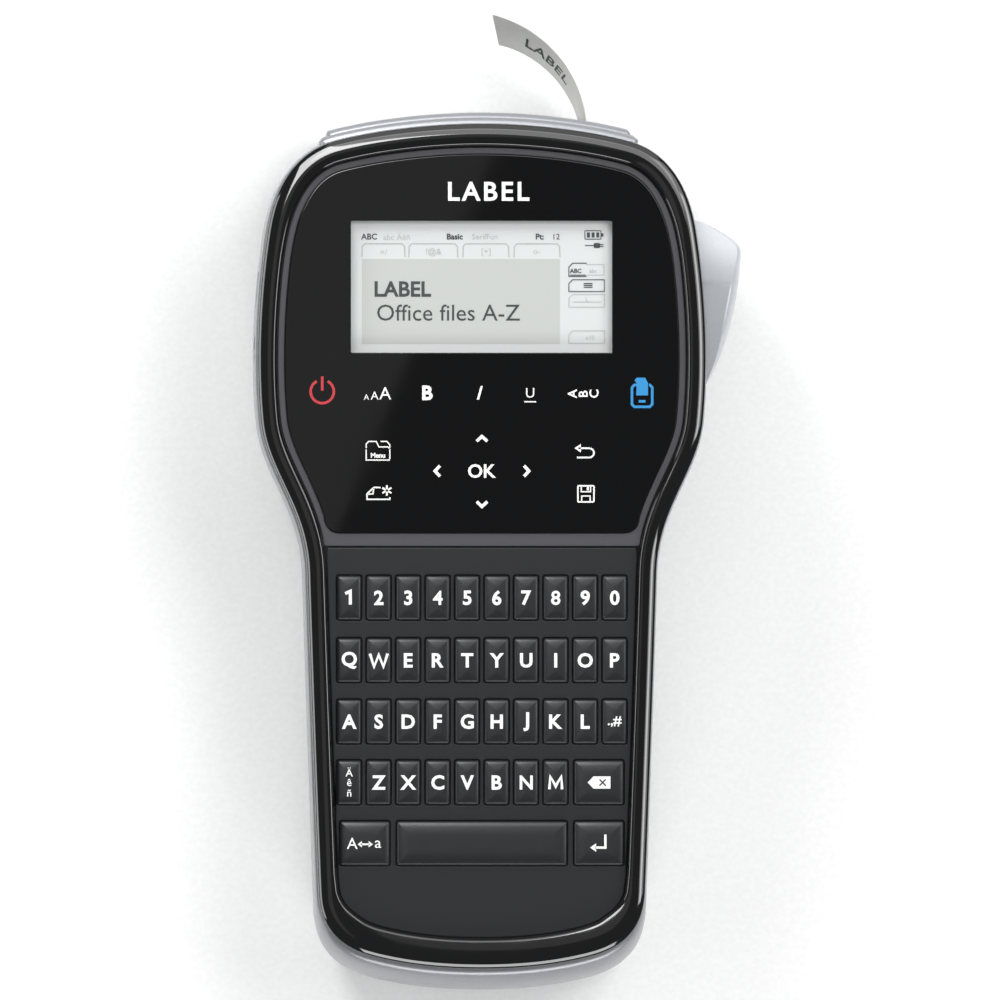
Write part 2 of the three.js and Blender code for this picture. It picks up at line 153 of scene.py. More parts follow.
def add_node(material, kind, settings=None, links=None):
    """Adds one node, sets its properties and sockets, and links sockets from other nodes."""
    node = material.node_tree.nodes.new(kind)
    for key, value in (settings or {}).items():
        if key in node.inputs:
            node.inputs[key].default_value = value
        else:
            setattr(node, key, value)
    for socket, (source, output) in (links or {}).items():
        material.node_tree.links.new(source.outputs[output], node.inputs[socket])
    return node


def new_material(name, base, roughness, **sockets):
    """A Principled material; the extra sockets are named with underscores for spaces."""
    material = bpy.data.materials.new(name)
    material.use_nodes = True
    shader = material.node_tree.nodes["Principled BSDF"]
    shader.inputs["Base Color"].default_value = linear(base)
    shader.inputs["Roughness"].default_value = roughness
    for key, value in sockets.items():
        shader.inputs[key.replace("_", " ")].default_value = value
    return material, shader


def add_grain(material, shader, grain, depth, detail=2.0, stretch=(1, 1, 1)):
    """A noise bump whose grains are `grain` mm across and `depth` mm deep."""
    place = add_node(material, "ShaderNodeTexCoord")
    scaled = add_node(
        material, "ShaderNodeMapping", {"Scale": stretch}, {"Vector": (place, "Object")}
    )
    noise = add_node(
        material, "ShaderNodeTexNoise", {"Scale": 1 / (grain * MM), "Detail": detail},
        {"Vector": (scaled, "Vector")},
    )
    bump = add_node(
        material, "ShaderNodeBump", {"Strength": 1.0, "Distance": depth * MM},
        {"Height": (noise, "Fac")},
    )
    material.node_tree.links.new(bump.outputs["Normal"], shader.inputs["Normal"])
    return noise


def vary(material, shader, socket, noise, low, high):
    """Spreads a socket between two values or colours by a noise."""
    ramp = add_node(material, "ShaderNodeValToRGB", {}, {"Fac": (noise, "Fac")})
    ramp.color_ramp.elements[0].position = 0.35
    ramp.color_ramp.elements[1].position = 0.65
    ramp.color_ramp.elements[0].color = low
    ramp.color_ramp.elements[1].color = high
    material.node_tree.links.new(ramp.outputs["Color"], shader.inputs[socket])


def grey(value):
    """A grey as linear RGBA."""
    return [value, value, value, 1.0]


def tint(value, factor):
    """A colour as linear RGBA, made lighter or darker."""
    return [min(1.0, channel * factor) for channel in linear(value)[:3]] + [1.0]


def grained(name, base, roughness, grain, depth, tones=None, roughnesses=None, detail=2.0,
            stretch=(1, 1, 1), **sockets):
    """A material with a grain that also spreads its colour or its roughness.

    `tones` are two factors of the base colour and `roughnesses` two values.
    """
    material, shader = new_material(name, base, roughness, **sockets)
    noise = add_grain(material, shader, grain, depth, detail, stretch)
    if tones:
        vary(material, shader, "Base Color", noise, *(tint(base, tone) for tone in tones))
    else:
        vary(material, shader, "Roughness", noise, *(grey(value) for value in roughnesses))
    return material


def display_film(name, base, contrast):
    """Reflective graphic display: a pale polariser over a fine square dot grid."""
    material, shader = new_material(name, base, 0.3, Coat_Weight=0.5, Coat_Roughness=0.04)
    pitch, gap = 0.32 * MM, 0.03 * MM
    place = add_node(material, "ShaderNodeTexCoord")
    dots = add_node(
        material, "ShaderNodeTexBrick",
        {"Scale": 1.0, "Mortar Size": gap, "Brick Width": pitch, "Row Height": pitch,
         "offset": 0.0, "Color1": linear(base), "Color2": linear(base),
         "Mortar": tint(base, contrast)},
        {"Vector": (place, "Object")})
    material.node_tree.links.new(dots.outputs["Color"], shader.inputs["Base Color"])
    return material


def lens_acrylic(base):
    """Clear acrylic printed black behind: flat, mirror-smooth and very dark."""
    material, shader = new_material("Acrylic, back-printed black", base, 0.03, IOR=1.49)
    place = add_node(material, "ShaderNodeTexCoord")
    wiped = add_node(material, "ShaderNodeTexNoise", {"Scale": 1 / (18 * MM), "Detail": 3.0},
                     {"Vector": (place, "Object")})
    vary(material, shader, "Roughness", wiped, grey(0.02), grey(0.035))
    return material


def wound_film():
    """Wound tape seen from the side: thin concentric layers about the spool's axis."""
    material, shader = new_material("Polyester film, wound", "d9dad6", 0.4)
    low, high = node_box("tape_spool")
    middle = (low + high) / 2 * MM
    place = add_node(material, "ShaderNodeTexCoord")
    centred = add_node(
        material, "ShaderNodeMapping", {"Location": (-middle.x, -middle.y, 0)},
        {"Vector": (place, "Object")})
    layers = add_node(
        material, "ShaderNodeTexWave",
        {"wave_type": "RINGS", "rings_direction": "Z", "Scale": 0.35 / MM, "Distortion": 0.4},
        {"Vector": (centred, "Vector")})
    vary(material, shader, "Base Color", layers, linear("bfc1bc"), linear("e6e7e3"))
    return material


def build_materials():
    """Every finish of the printer, by a short name."""
    palette = colours()
    made = {}

    # Spray-painted ABS: a fine metallic flake under a satin clear coat sparkles softly. The base is
    # darker than the button's as painted shade, for the casing walls that face away from the lights
    # above.
    made["silver"] = grained(
        "ABS, silver metallic paint", palette.silver, 0.33, 0.35, 0.004, tones=(0.93, 1.05),
        detail=3, Metallic=0.35, Coat_Weight=0.2, Coat_Roughness=0.25)

    # The same flake paint, given a paler base and less metal as a painted highlight, for the
    # button's face turned up to the light.
    made["silver_painted_highlight"] = grained(
        "ABS, silver paint, painted highlight", palette.button, 0.3, 0.35, 0.004, tones=(0.95, 1.03), detail=3,
        Metallic=0.1, Coat_Weight=0.25, Coat_Roughness=0.2)

    # Piano-black ABS from a polished mould: mirror gloss with a trace of orange peel.
    made["gloss_black"] = grained(
        "ABS, high-gloss moulded", palette.gloss_black, 0.07, 6.0, 0.004,
        roughnesses=(0.05, 0.09), detail=0, IOR=1.53, Coat_Weight=0.3, Coat_Roughness=0.03)

    # Spark-eroded mould texture: a fine, even grain that breaks the gloss to a satin grey.
    made["satin_band"] = grained(
        "ABS, satin textured", palette.satin_band, 0.5, 0.25, 0.006, tones=(0.9, 1.1))

    made["lens"] = lens_acrylic(palette.lens)

    # Matt moulded plate: fine erosion grain, slightly blue.
    made["keypad"] = grained(
        "ABS, matt textured", palette.keypad, 0.5, 0.3, 0.006, tones=(0.92, 1.1), IOR=1.35)

    # Silicone keys under a soft-touch lacquer: low sheen with a faint velvety bloom.
    made["key"] = grained(
        "Silicone rubber, soft-touch lacquer", palette.key, 0.36, 0.22, 0.004,
        roughnesses=(0.33, 0.44), IOR=1.43, Sheen_Weight=0.04)

    # Screen-printed ink: opaque, slightly grainy at its surface.
    for key, base in (("ink_white", palette.legend), ("ink_red", palette.power),
                      ("ink_blue", palette.printing), ("ink_black", "17181a")):
        made[key] = grained(f"Screen ink, {key[4:]}", base, 0.45, 0.15, 0.003, tones=(0.94, 1.0))

    for key, base, contrast in (("display", palette.display, 0.985),
                                ("display_area", palette.display_area, 0.94)):
        made[key] = display_film(f"Liquid crystal, {key.replace('_', ' ')}", base, contrast)

    # Display marks: dark when the segment is on, barely there when it is off.
    for key, base in (("mark_on", "3b3f40"), ("mark_off", "b4b8b6")):
        made[key] = grained(
            f"Liquid crystal, segment {key[5:]}", base, 0.3, 0.3, 0.001, tones=(0.93, 1.05),
            Coat_Weight=0.5, Coat_Roughness=0.04)

    # Polyester label film: milky, a little translucent, with faint streaks along its length.
    made["label"] = grained(
        "Polyester film, translucent", palette.label, 0.32, 0.5, 0.003, tones=(0.93, 1.05),
        detail=4, stretch=(0.3, 0.3, 2.0), IOR=1.57, Subsurface_Weight=0.25,
        Subsurface_Radius=(0.002, 0.002, 0.002))

    # Inner mouldings: plain black ABS with visible erosion grain.
    made["moulded_black"] = grained(
        "ABS, black moulded", "1a1b1d", 0.5, 0.5, 0.012, roughnesses=(0.42, 0.58))

    # Smoky polystyrene cassette: glossy and faintly see-through in the mass.
    made["cassette"] = grained(
        "Polystyrene, grey cassette", "8d9297", 0.22, 8.0, 0.01, tones=(0.92, 1.06), detail=1,
        IOR=1.59, Subsurface_Weight=0.15, Subsurface_Radius=(0.003, 0.003, 0.003))

    made["wound_tape"] = wound_film()

    # Wax-resin ribbon: near-black with a dull shine.
    made["ribbon"] = grained(
        "Thermal ribbon, wound", "1d1d21", 0.35, 0.4, 0.01, roughnesses=(0.3, 0.45),
        stretch=(1, 1, 0.1))

    # Ground rubber: dull, with a fine abraded grain.
    made["rubber"] = grained(
        "Rubber, ground", "242425", 0.8, 0.35, 0.03, tones=(0.8, 1.3), detail=5)

    # Rolled and ground steel: fine lines along one direction.
    made["steel"] = grained(
        "Steel, ground", "b4b7ba", 0.28, 0.3, 0.004, roughnesses=(0.2, 0.36), detail=4,
        stretch=(0.05, 1, 1), Metallic=1.0)

    # Translucent silicone of the key mat.
    made["mat"] = grained(
        "Silicone rubber, translucent", "9a9da0", 0.45, 1.5, 0.01, tones=(0.9, 1.08), IOR=1.41,
        Subsurface_Weight=0.3, Subsurface_Radius=(0.002, 0.002, 0.002))

    # Solder resist over glass-fibre weave.
    made["board"] = grained(
        "Circuit board, green resist", "14502f", 0.3, 0.9, 0.01, tones=(0.8, 1.2))

    # Acetal gears: milky white, waxy.
    made["acetal"] = grained(
        "Acetal, natural white", "e4e4de", 0.35, 1.0, 0.006, tones=(0.94, 1.0),
        Subsurface_Weight=0.2, Subsurface_Radius=(0.002, 0.002, 0.002))

    # Plated brass spring leaf: warm metal with faint polishing marks.
    made["brass"] = grained(
        "Brass, plated", "d9b45f", 0.3, 0.3, 0.003, roughnesses=(0.24, 0.38), detail=3,
        Metallic=1.0)

    # Heat-shrink sleeve of the battery: smooth PVC with slight ripples.
    made["battery"] = grained(
        "PVC, heat-shrunk sleeve", "2c3a4c", 0.3, 7.0, 0.06, roughnesses=(0.25, 0.4), detail=1)
    return made


_finishes = {}


def finish_of(key):
    """A finish by its short name; all of them are built the first time."""
    if not _finishes:
        _finishes.update(build_materials())
    return _finishes[key]


# ---- Outlines ----------------------------------------------------------------------------------

# Bezier segments of the front cover's right half, from the chin to the top: the handle towards
# the start, the handle towards the end, and the end.
HALF_START = (0, -99.0)
HALF_CURVES = (
    ((12, -99.0), (20, -97.6), (26, -96.0)),
    ((33.5, -94.0), (38.2, -89.5), (38.6, -81)),
    ((39.7, -55), (40.7, -25), (41.3, -5)),
    ((41.8, 10), (50.5, 18), (52.2, 29.5)),
    ((53.6, 42), (53.2, 60), (50.6, 76)),
    ((48.7, 87.7), (43, 95), (34, 97.1)),
    ((25, 99.4), (12, 101.0), (0, 101.0)),
)
CURVE_STEPS = 18


def front_outline():
    """Outline of the front cover, counter-clockwise from the middle of the chin."""
    right = [Vector(HALF_START)]
    start = HALF_START
    for first, second, end in HALF_CURVES:
        points = interpolate_bezier(
            (*start, 0), (*first, 0), (*second, 0), (*end, 0), CURVE_STEPS + 1)
        right += [point.to_2d() for point in points[1:]]
        start = end
    left = [Vector((-point.x, point.y)) for point in reversed(right[1:-1])]
    return right + left


def inset(points, distance):
    """Moves a counter-clockwise loop inwards, or a clockwise one outwards."""
    moved = []
    for index, point in enumerate(points):
        after = points[(index + 1) % len(points)]
        along = (after - points[index - 1]).normalized()
        amount = distance(point) if callable(distance) else distance
        moved.append(point + Vector((-along.y, along.x)) * amount)
    return moved


def fade(value, low, high):
    """A smooth step from 0 at low to 1 at high."""
    step = min(1.0, max(0.0, (value - low) / (high - low)))
    return step * step * (3 - 2 * step)


def cover_loop(depth, share=0.0):
    """A loop of the front cover `depth` mm inside its outline.

    The rim widens at both ends; `share` is how much of that extra width the loop follows.
    """
    chin = share * (sizes().rim_chin - sizes().rim_width)
    brow = share * (sizes().rim_brow - sizes().rim_width)
    return inset(front_outline(), lambda point: depth + chin * fade(-point.y, 78, 93)
                 + brow * fade(point.y, 68, 92))


def casing_loop(side, heel):
    """A loop of the rear casing: `side` mm outside the front cover and `heel` mm at the heel."""
    grown = inset(front_outline(), -side)
    return [Vector((point.x, point.y - (heel - side) * fade(-point.y, 50, 90))) for point in grown]


def rounded_rect(left, right, bottom, top, radius, steps=3, hole=False):
    """A rectangle with round corners, counter-clockwise, or clockwise for a hole."""
    corners = (
        (right - radius, bottom + radius, -90), (right - radius, top - radius, 0),
        (left + radius, top - radius, 90), (left + radius, bottom + radius, 180))
    points = []
    for x, y, start in corners:
        for step in range(steps + 1):
            angle = math.radians(start + 90 * step / steps)
            points.append(Vector((x + radius * math.cos(angle), y + radius * math.sin(angle))))
    return points[::-1] if hole else points


def around(points, middle=0.0):
    """Points sorted counter-clockwise, from the lowest one on the right of `middle`."""
    right = sorted((point for point in points if point.x > middle), key=lambda point: point.y)
    left = sorted((point for point in points if point.x <= middle), key=lambda point: -point.y)
    return right + left


def arc(x, y, radius, start, end, steps):
    """Points on an arc; the angles are in degrees."""
    angles = [math.radians(start + (end - start) * step / steps) for step in range(steps + 1)]
    return [Vector((x + radius * math.cos(a), y + radius * math.sin(a))) for a in angles]


# ---- Mesh work ---------------------------------------------------------------------------------


def loop_edges(bm, verts):
    """The edges of a closed ring of vertices."""
    return [bm.edges.get((verts[index - 1], vert)) for index, vert in enumerate(verts)]


def new_ring(bm, points, z):
    """A closed ring of edges."""
    verts = [bm.verts.new((point.x, point.y, z)) for point in points]
    for index, vert in enumerate(verts):
        bm.edges.new((verts[index - 1], vert))
    return verts


def raise_ring(bm, verts, points, z):
    """Extrudes a ring's edges and puts the new ring on other points."""
    grown = bmesh.ops.extrude_edge_only(bm, edges=loop_edges(bm, verts))["geom"]
    fresh = {item for item in grown if isinstance(item, bmesh.types.BMVert)}
    ring = []
    for vert, point in zip(verts, points):
        twin = next(e.other_vert(vert) for e in vert.link_edges if e.other_vert(vert) in fresh)
        twin.co = (point.x, point.y, z)
        ring.append(twin)
    return ring


def loft(rings, closed=False):
    """A skin through (points, z) rings, capped at both ends or closed into a tube on itself."""
    bm = bmesh.new()
    first = ring = new_ring(bm, *rings[0])
    for points, z in rings[1:]:
        ring = raise_ring(bm, ring, points, z)
    if closed:
        bmesh.ops.bridge_loops(bm, edges=loop_edges(bm, first) + loop_edges(bm, ring))
    else:
        for loop in (first, ring):
            bmesh.ops.contextual_create(bm, geom=loop_edges(bm, loop))
    bmesh.ops.recalc_face_normals(bm, faces=bm.faces)
    return bm


def plate(loops, low, high, rounding=0.0):
    """A plate with holes: the outer loop runs counter-clockwise and each hole clockwise."""
    bm = bmesh.new()
    top, bottom = [], []
    for points in loops:
        turns = [math.pi / 2 * step / 2 for step in range(3)] if rounding else [0]
        depths = [(rounding * (1 - math.sin(a)), rounding * (1 - math.cos(a))) for a in turns]
        if rounding:  # a level margin keeps the shading of the flat face level
            depths.insert(0, (rounding + 0.12, 0.0))
        ring = new_ring(bm, inset(points, depths[0][0]), high - depths[0][1])
        top += loop_edges(bm, ring)
        for side, drop in depths[1:]:
            ring = raise_ring(bm, ring, inset(points, side), high - drop)
        ring = raise_ring(bm, ring, points, low)
        bottom += loop_edges(bm, ring)
    for edges in (top, bottom):
        bmesh.ops.triangle_fill(bm, use_beauty=True, use_dissolve=False, edges=edges)
    bmesh.ops.recalc_face_normals(bm, faces=bm.faces)
    return bm


def merge(bm, other, transform=None):
    """Adds another mesh to a mesh and frees it."""
    mesh = bpy.data.meshes.new("merge")
    other.to_mesh(mesh)
    other.free()
    if transform:
        mesh.transform(transform)
    bm.from_mesh(mesh)
    bpy.data.meshes.remove(mesh)
    return bm


def temporary_object(bm):
    """An object for a modifier to work on; the mesh it is made from is freed."""
    mesh = bpy.data.meshes.new("temporary")
    bm.to_mesh(mesh)
    bm.free()
    piece = bpy.data.objects.new("temporary", mesh)
    bpy.context.scene.collection.objects.link(piece)
    return piece


def boolean(bm, cutter, operation):
    """The union, difference or intersection of two closed meshes, which are both freed."""
    target, tool = temporary_object(bm), temporary_object(cutter)
    modifier = target.modifiers.new("cut", "BOOLEAN")
    modifier.operation, modifier.solver, modifier.object = operation, "EXACT", tool
    evaluated = target.evaluated_get(bpy.context.evaluated_depsgraph_get())
    result = bmesh.new()
    result.from_mesh(evaluated.to_mesh())
    evaluated.to_mesh_clear()
    for piece in (target, tool):
        mesh = piece.data
        bpy.data.objects.remove(piece)
        bpy.data.meshes.remove(mesh)
    return result


def cut(bm, *cutters):
    """A mesh with every cutter taken out of it."""
    for cutter in cutters:
        bm = boolean(bm, cutter, "DIFFERENCE")
    return bm


def block(x0, x1, y0, y1, z0, z1, radius=0.0):
    """A box; with a radius its upright edges are round."""
    outline = rounded_rect(x0, x1, y0, y1, max(radius, 0.01), steps=6 if radius else 1)
    return loft([(outline, z0), (outline, z1)])


def turned(x, y, profile, segments=48):
    """A closed profile of (radius, z) points spun about an upright axis."""
    bm = bmesh.new()
    verts = [bm.verts.new((x + radius, y, z)) for radius, z in profile]
    edges = [bm.edges.new(pair) for pair in zip(verts, verts[1:])]
    bmesh.ops.spin(
        bm, geom=verts + edges, cent=(x, y, 0), axis=(0, 0, 1), angle=math.tau, steps=segments,
        use_merge=True)
    bmesh.ops.remove_doubles(bm, verts=bm.verts, dist=1e-4)
    bmesh.ops.recalc_face_normals(bm, faces=bm.faces)
    return bm


def lettering(text, type_size, bold=0.0, depth=0.0, resolution=3, spacing=1.0):
    """Flat letters, centred on the origin, with a little thickness; a mesh of its own."""
    curve = bpy.data.curves.new("lettering", "FONT")
    curve.body, curve.size, curve.offset = text, type_size, bold
    curve.extrude = depth or sizes().ink
    curve.space_character = spacing
    curve.resolution_u = resolution
    piece = bpy.data.objects.new("lettering", curve)
    bpy.context.scene.collection.objects.link(piece)
    evaluated = piece.evaluated_get(bpy.context.evaluated_depsgraph_get())
    bm = bmesh.new()
    bm.from_mesh(evaluated.to_mesh())
    evaluated.to_mesh_clear()
    bpy.data.objects.remove(piece)
    bpy.data.curves.remove(curve)
    bmesh.ops.remove_doubles(bm, verts=bm.verts, dist=1e-4)
    across, along = ([vert.co[axis] for vert in bm.verts] for axis in (0, 1))
    centre = Vector((-(min(across) + max(across)) / 2, -(min(along) + max(along)) / 2, 0))
    bmesh.ops.translate(bm, verts=bm.verts, vec=centre)
    return bm


def stroke(points, width, closed=False):
    """A flat line of constant width along points, as a thin plate around z = 0."""
    points = [Vector(point) for point in points]
    sides = ([], [])
    for index, point in enumerate(points):
        before = points[index - 1] if index or closed else None
        after = points[(index + 1) % len(points)] if index + 1 < len(points) or closed else None
        arriving = (point - before).normalized() if before is not None else None
        leaving = (after - point).normalized() if after is not None else None
        along = ((arriving or leaving) + (leaving or arriving)).normalized()
        square = (leaving or arriving).dot(along)
        across = Vector((-along.y, along.x)) * width / 2 / max(0.5, square)
        sides[0].append(point + across)
        sides[1].append(point - across)
    loops = [sides[0], sides[1][::-1]] if closed else [sides[1] + sides[0][::-1]]
    if closed:
        area = sum(a.cross(b) for a, b in zip(sides[0], sides[0][1:] + sides[0][:1]))
        loops = [loop[::-1] for loop in loops] if area < 0 else loops
    return plate(loops, -sizes().ink, sizes().ink)


def sheet(points, depth=0.0):
    """A flat printed shape."""
    ink = depth or sizes().ink
    return plate([[Vector(point) for point in points]], -ink, ink)


def box_line(left, right, bottom, top, width, radius=0.3):
    """The outline of a round-cornered box."""
    return stroke(rounded_rect(left, right, bottom, top, radius), width, closed=True)


def placed(x, y, z=0.0, turn=0.0, shear=0.0):
    """A transform that slants, turns and moves a flat shape."""
    slant = Matrix(((1, shear, 0, 0), (0, 1, 0, 0), (0, 0, 1, 0), (0, 0, 0, 1)))
    return Matrix.Translation((x, y, z)) @ Matrix.Rotation(math.radians(turn), 4, "Z") @ slant


def finish_piece(bm, name, finish, body=ROOT, replaces=(), sharp=32):
    """Turns a mesh drawn in millimetres into a finished piece that rides on a body."""
    bmesh.ops.remove_doubles(bm, verts=bm.verts, dist=2e-4)
    bmesh.ops.dissolve_degenerate(bm, dist=1e-4, edges=bm.edges)
    bmesh.ops.scale(bm, vec=(MM, MM, MM), verts=bm.verts)
    mesh = bpy.data.meshes.new(name)
    bm.to_mesh(mesh)
    bm.free()
    mesh.materials.append(finish_of(finish))
    mesh.shade_smooth()
    mesh.set_sharp_from_angle(angle=math.radians(sharp))
    piece = bpy.data.objects.new(name, mesh)
    bpy.context.scene.collection.objects.link(piece)
    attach(piece, body)
    if replaces:
        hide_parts(*replaces)
    return piece


# ---- Pieces of the casing ----------------------------------------------------------------------


class BuildFrontCover(bpy.types.Operator):
    """Glossy black front cover: a rounded rim around the lens and the keypad"""

    bl_idname = "label_printer.front_cover"
    bl_label = "Front cover"

    def execute(self, context):
        rings = [(cover_loop(0.5), SEAM_Z), (cover_loop(0.1), SEAM_Z + 0.3)]
        rings += [(cover_loop(0.0), SEAM_Z + 0.9)]
        # A tight corner, then a broad, gently rounded shoulder up to the crest.
        tight, broad, knee = 0.5, 4.6, math.radians(40)
        reach = broad * math.sin(knee)
        corner_z = CREST_Z - broad * (1 - math.cos(knee)) - tight * math.cos(knee)
        for step in range(5):
            tilt = math.pi / 2 - (math.pi / 2 - knee) * step / 4
            rings.append((cover_loop(tight * (1 - math.sin(tilt))),
                          corner_z + tight * math.cos(tilt)))
        for step in range(1, 11):
            tilt = knee * (1 - step / 10)
            depth = tight * (1 - math.sin(knee)) + reach - broad * math.sin(tilt)
            rings.append((cover_loop(depth), CREST_Z - broad * (1 - math.cos(tilt))))
        rim = sizes().rim_width
        for depth, share, z in (
            (rim - 0.85, 0.97, CREST_Z - 0.06), (rim - 0.6, 1, CREST_Z - 0.2),
            (rim - 0.38, 1, CREST_Z - 0.42), (rim - 0.18, 1, CREST_Z - 0.72),
            (rim - 0.05, 1, CREST_Z - 1.0), (rim, 1, CREST_Z - 1.3),
            (rim, 1, LEDGE_Z), (rim + 1.0, 1, LEDGE_Z),
            (rim + 1.0, 1, LEDGE_Z - 2), (WALL, 0, LEDGE_Z - 2), (WALL, 0, SEAM_Z),
        ):
            rings.append((cover_loop(depth, share), z))
        finish_piece(loft(rings, closed=True), "front_cover_shell", "gloss_black",
                     replaces=["front_cover"], sharp=28)
        return {"FINISHED"}


def casing_solids():
    """The rear casing's outer form and the room inside it."""
    side, heel = sizes().side_lip, sizes().heel_lip
    edge, rise = 7.0, 12.0
    top = SEAM_Z - FIT
    outside = []
    for step in range(9):
        angle = math.pi / 2 * step / 8
        inwards = edge * (1 - math.sin(angle))
        outside.append((side - inwards, heel - inwards, rise * (1 - math.cos(angle))))
    for step in range(1, 8):
        angle = math.pi / 2 * step / 7
        swell = math.cos(angle)
        outside.append((0.35 + (side - 0.35) * swell, 0.5 + (heel - 0.5) * swell,
                        20 + (top - 20) * math.sin(angle)))
    inside = [(side - WALL - 3.5, -2, WALL), (side - WALL - 1.2, 0, 4.5), (side - WALL, 1.0, 9),
              (side - WALL, 1.0, 26), (-WALL, -WALL + 0.3, top), (-WALL, -WALL + 0.3, top + 2)]
    return [loft([(casing_loop(sideways, down), z) for sideways, down, z in rings])
            for rings in (outside, inside)]


class BuildRearCasing(bpy.types.Operator):
    """Silver rear casing with the raised band around the label exit"""

    bl_idname = "label_printer.rear_casing"
    bl_label = "Rear casing"

    def execute(self, context):
        shell, room = casing_solids()
        for left, right, rise, low, high in ((-38.4, 37.4, 2.0, 5.5, 36.6),
                                             (-36.6, 35.6, 3.1, 6.5, 35.6)):
            shell = boolean(shell, top_band(left, right, rise, low, high), "UNION")
        shell = boolean(shell, room, "DIFFERENCE")
        cover_low, cover_high = node_box("cassette_cover")
        lid_low, lid_high = node_box("battery_cover")
        button_low, button_high = node_box("cutter_button")
        battery_low, battery_high = node_box("battery_pack")
        clearance, under, over = 0.9, -1, 2.7
        outside = clearance + 2.0
        tub = block(-battery_high.x - outside, battery_high.x + outside, battery_low.y - outside,
                    battery_high.y + outside, 1.5, battery_high.z + outside, 1.0)
        shell = boolean(shell, tub, "UNION")
        for x, y in SCREWS:
            boss = turned(x, y, [(0, 1.5), (4.4, 1.5), (4.0, 5.0), (0, 5.0)], segments=36)
            shell = boolean(shell, boss, "UNION")
        shell = cut(
            shell,
            block(battery_low.x - clearance, battery_high.x + clearance,
                  battery_low.y - clearance, battery_high.y + clearance, under,
                  battery_high.z + clearance, 2.0),
            block(cover_low.x + 2.1, cover_high.x - 2.1, cover_low.y - 2 * FIT, cover_low.y + 4,
                  under, over),
            block(cover_low.x - FIT, cover_high.x + FIT, cover_low.y - FIT, cover_high.y + FIT,
                  under, over, 8.2),
            block(lid_low.x - FIT, lid_high.x + FIT, -150, lid_high.y + FIT, under, over),
            block(-12, 5, cover_high.y - 1, cover_high.y + 4.5, under, 1.2, 2.0),
            block(44, 80, button_low.y - 0.7, button_high.y + 0.8, 11.5, 34.5),
            block(22.5, 27.7, 90, 120, 6.2, 22.2, 1.0),
            *(turned(x, y, [(0, -1), (3.1, -1), (3.1, 2.05), (0, 2.05)]) for x, y in SCREWS),
            *(turned(x, y, [(0, -1), (4.05, -1), (4.05, 0.85), (0, 0.85)]) for x, y in FEET),
            block(-70, -48.5, 57.8, 66.2, 30.2, 33.8, 0.6),
            self.jack_hole(),
        )
        finish_piece(shell, "rear_casing_shell", "silver",
                     replaces=["rear_casing"])
        return {"FINISHED"}

    def jack_hole(self):
        """The round opening of the charging jack."""
        hole = turned(0, 0, [(0, -12), (3.2, -12), (3.2, 4), (0, 4)], segments=40)
        hole.transform(side_place(48, 32))
        return hole


def top_band(left, right, rise, low, high):
    """A raised band that follows the casing's top end between two ends."""
    arch = [point for point in inset(front_outline(), -rise)
            if left < point.x < right and point.y > 90]
    arch.sort(key=lambda point: -point.x)
    outline = [Vector((left + 0.6, 86)), Vector((right - 0.6, 86)),
               Vector((right, arch[0].y - 1.0)), *arch, Vector((left, arch[-1].y - 1.0))]
    rounding = 1.6
    rings = []
    for step in range(5):
        angle = math.pi / 2 * step / 4
        rings.append((inset(outline, rounding * (1 - math.sin(angle))),
                      low + rounding * (1 - math.cos(angle))))
    for step in range(5):
        angle = math.pi / 2 * (1 - step / 4)
        rings.append((inset(outline, rounding * (1 - math.sin(angle))),
                      high - rounding * (1 - math.cos(angle))))
    return loft(rings)


BUTTON_PIVOT = (50.7, 41.5)
DOME = 75.0


class BuildCutterButton(bpy.types.Operator):
    """Silver cutter lever on the right side, with a domed thumb face"""

    bl_idname = "label_printer.cutter_button"
    bl_label = "Cutter button"

    def execute(self, context):
        low, high = node_box("cutter_button")
        outline = [Vector((46.0, 70.5))]
        outline += arc(*BUTTON_PIVOT, 3.6, 180, 330, 14)
        for start, first, second, end in (
            ((53.8, 39.7), (56.2, 43.5), (61.2, 54.5), (62.0, 70.6)),
            ((62.0, 70.6), (62.07, 71.7), (61.6, 72.7), (60.6, 73.6)),
            ((60.6, 73.6), (57.9, 75.9), (54.7, 77.5), (51.2, 78.6)),
        ):
            curve = interpolate_bezier((*start, 0), (*first, 0), (*second, 0), (*end, 0), 14)
            outline += [point.to_2d() for point in curve[1:]]
        outline += [Vector((49.2, 78.2)), Vector((46.6, 75.5))]
        rings = []
        for side, drop in ((2.6, 0), (1.2, 0.5), (0.4, 1.4), (0, 3.0)):
            rings.append((inset(outline, side), low.z + drop))
        for side, drop in ((0, 5.0), (0.12, 3.4), (0.4, 2.2), (0.8, 1.2), (1.3, 0.5), (1.9, 0.1),
                           (2.5, 0)):
            rings.append((inset(outline, side), high.z - drop))
        bm = loft(rings)
        dome = turned(0, 0, [(0, 20), (DOME, 20), (DOME, 90), (0, 90)], segments=256)
        dome.transform(Matrix.Translation((0, 59, high.z - DOME)) @
                       Matrix.Rotation(math.pi / 2, 4, "Y"))
        bm = boolean(bm, dome, "INTERSECT")
        bm = cut(bm, turned(*BUTTON_PIVOT, [(0, 0), (1.45, 0), (1.45, 40), (0, 40)], 32))
        # The lever wears the casing silver lightened as a painted highlight.
        finish_piece(bm, "cutter_lever", "silver_painted_highlight", body="cutter_button",
                     replaces=["cutter_button"])
        return {"FINISHED"}


# ---- Face: head panel, lens, display and keypad plate ------------------------------------------

PANEL_SPLIT_Y = 1.0
LENS_BOTTOM = 4.2
WINDOW = (-31.0, 30.8, 46.8, 78.0)


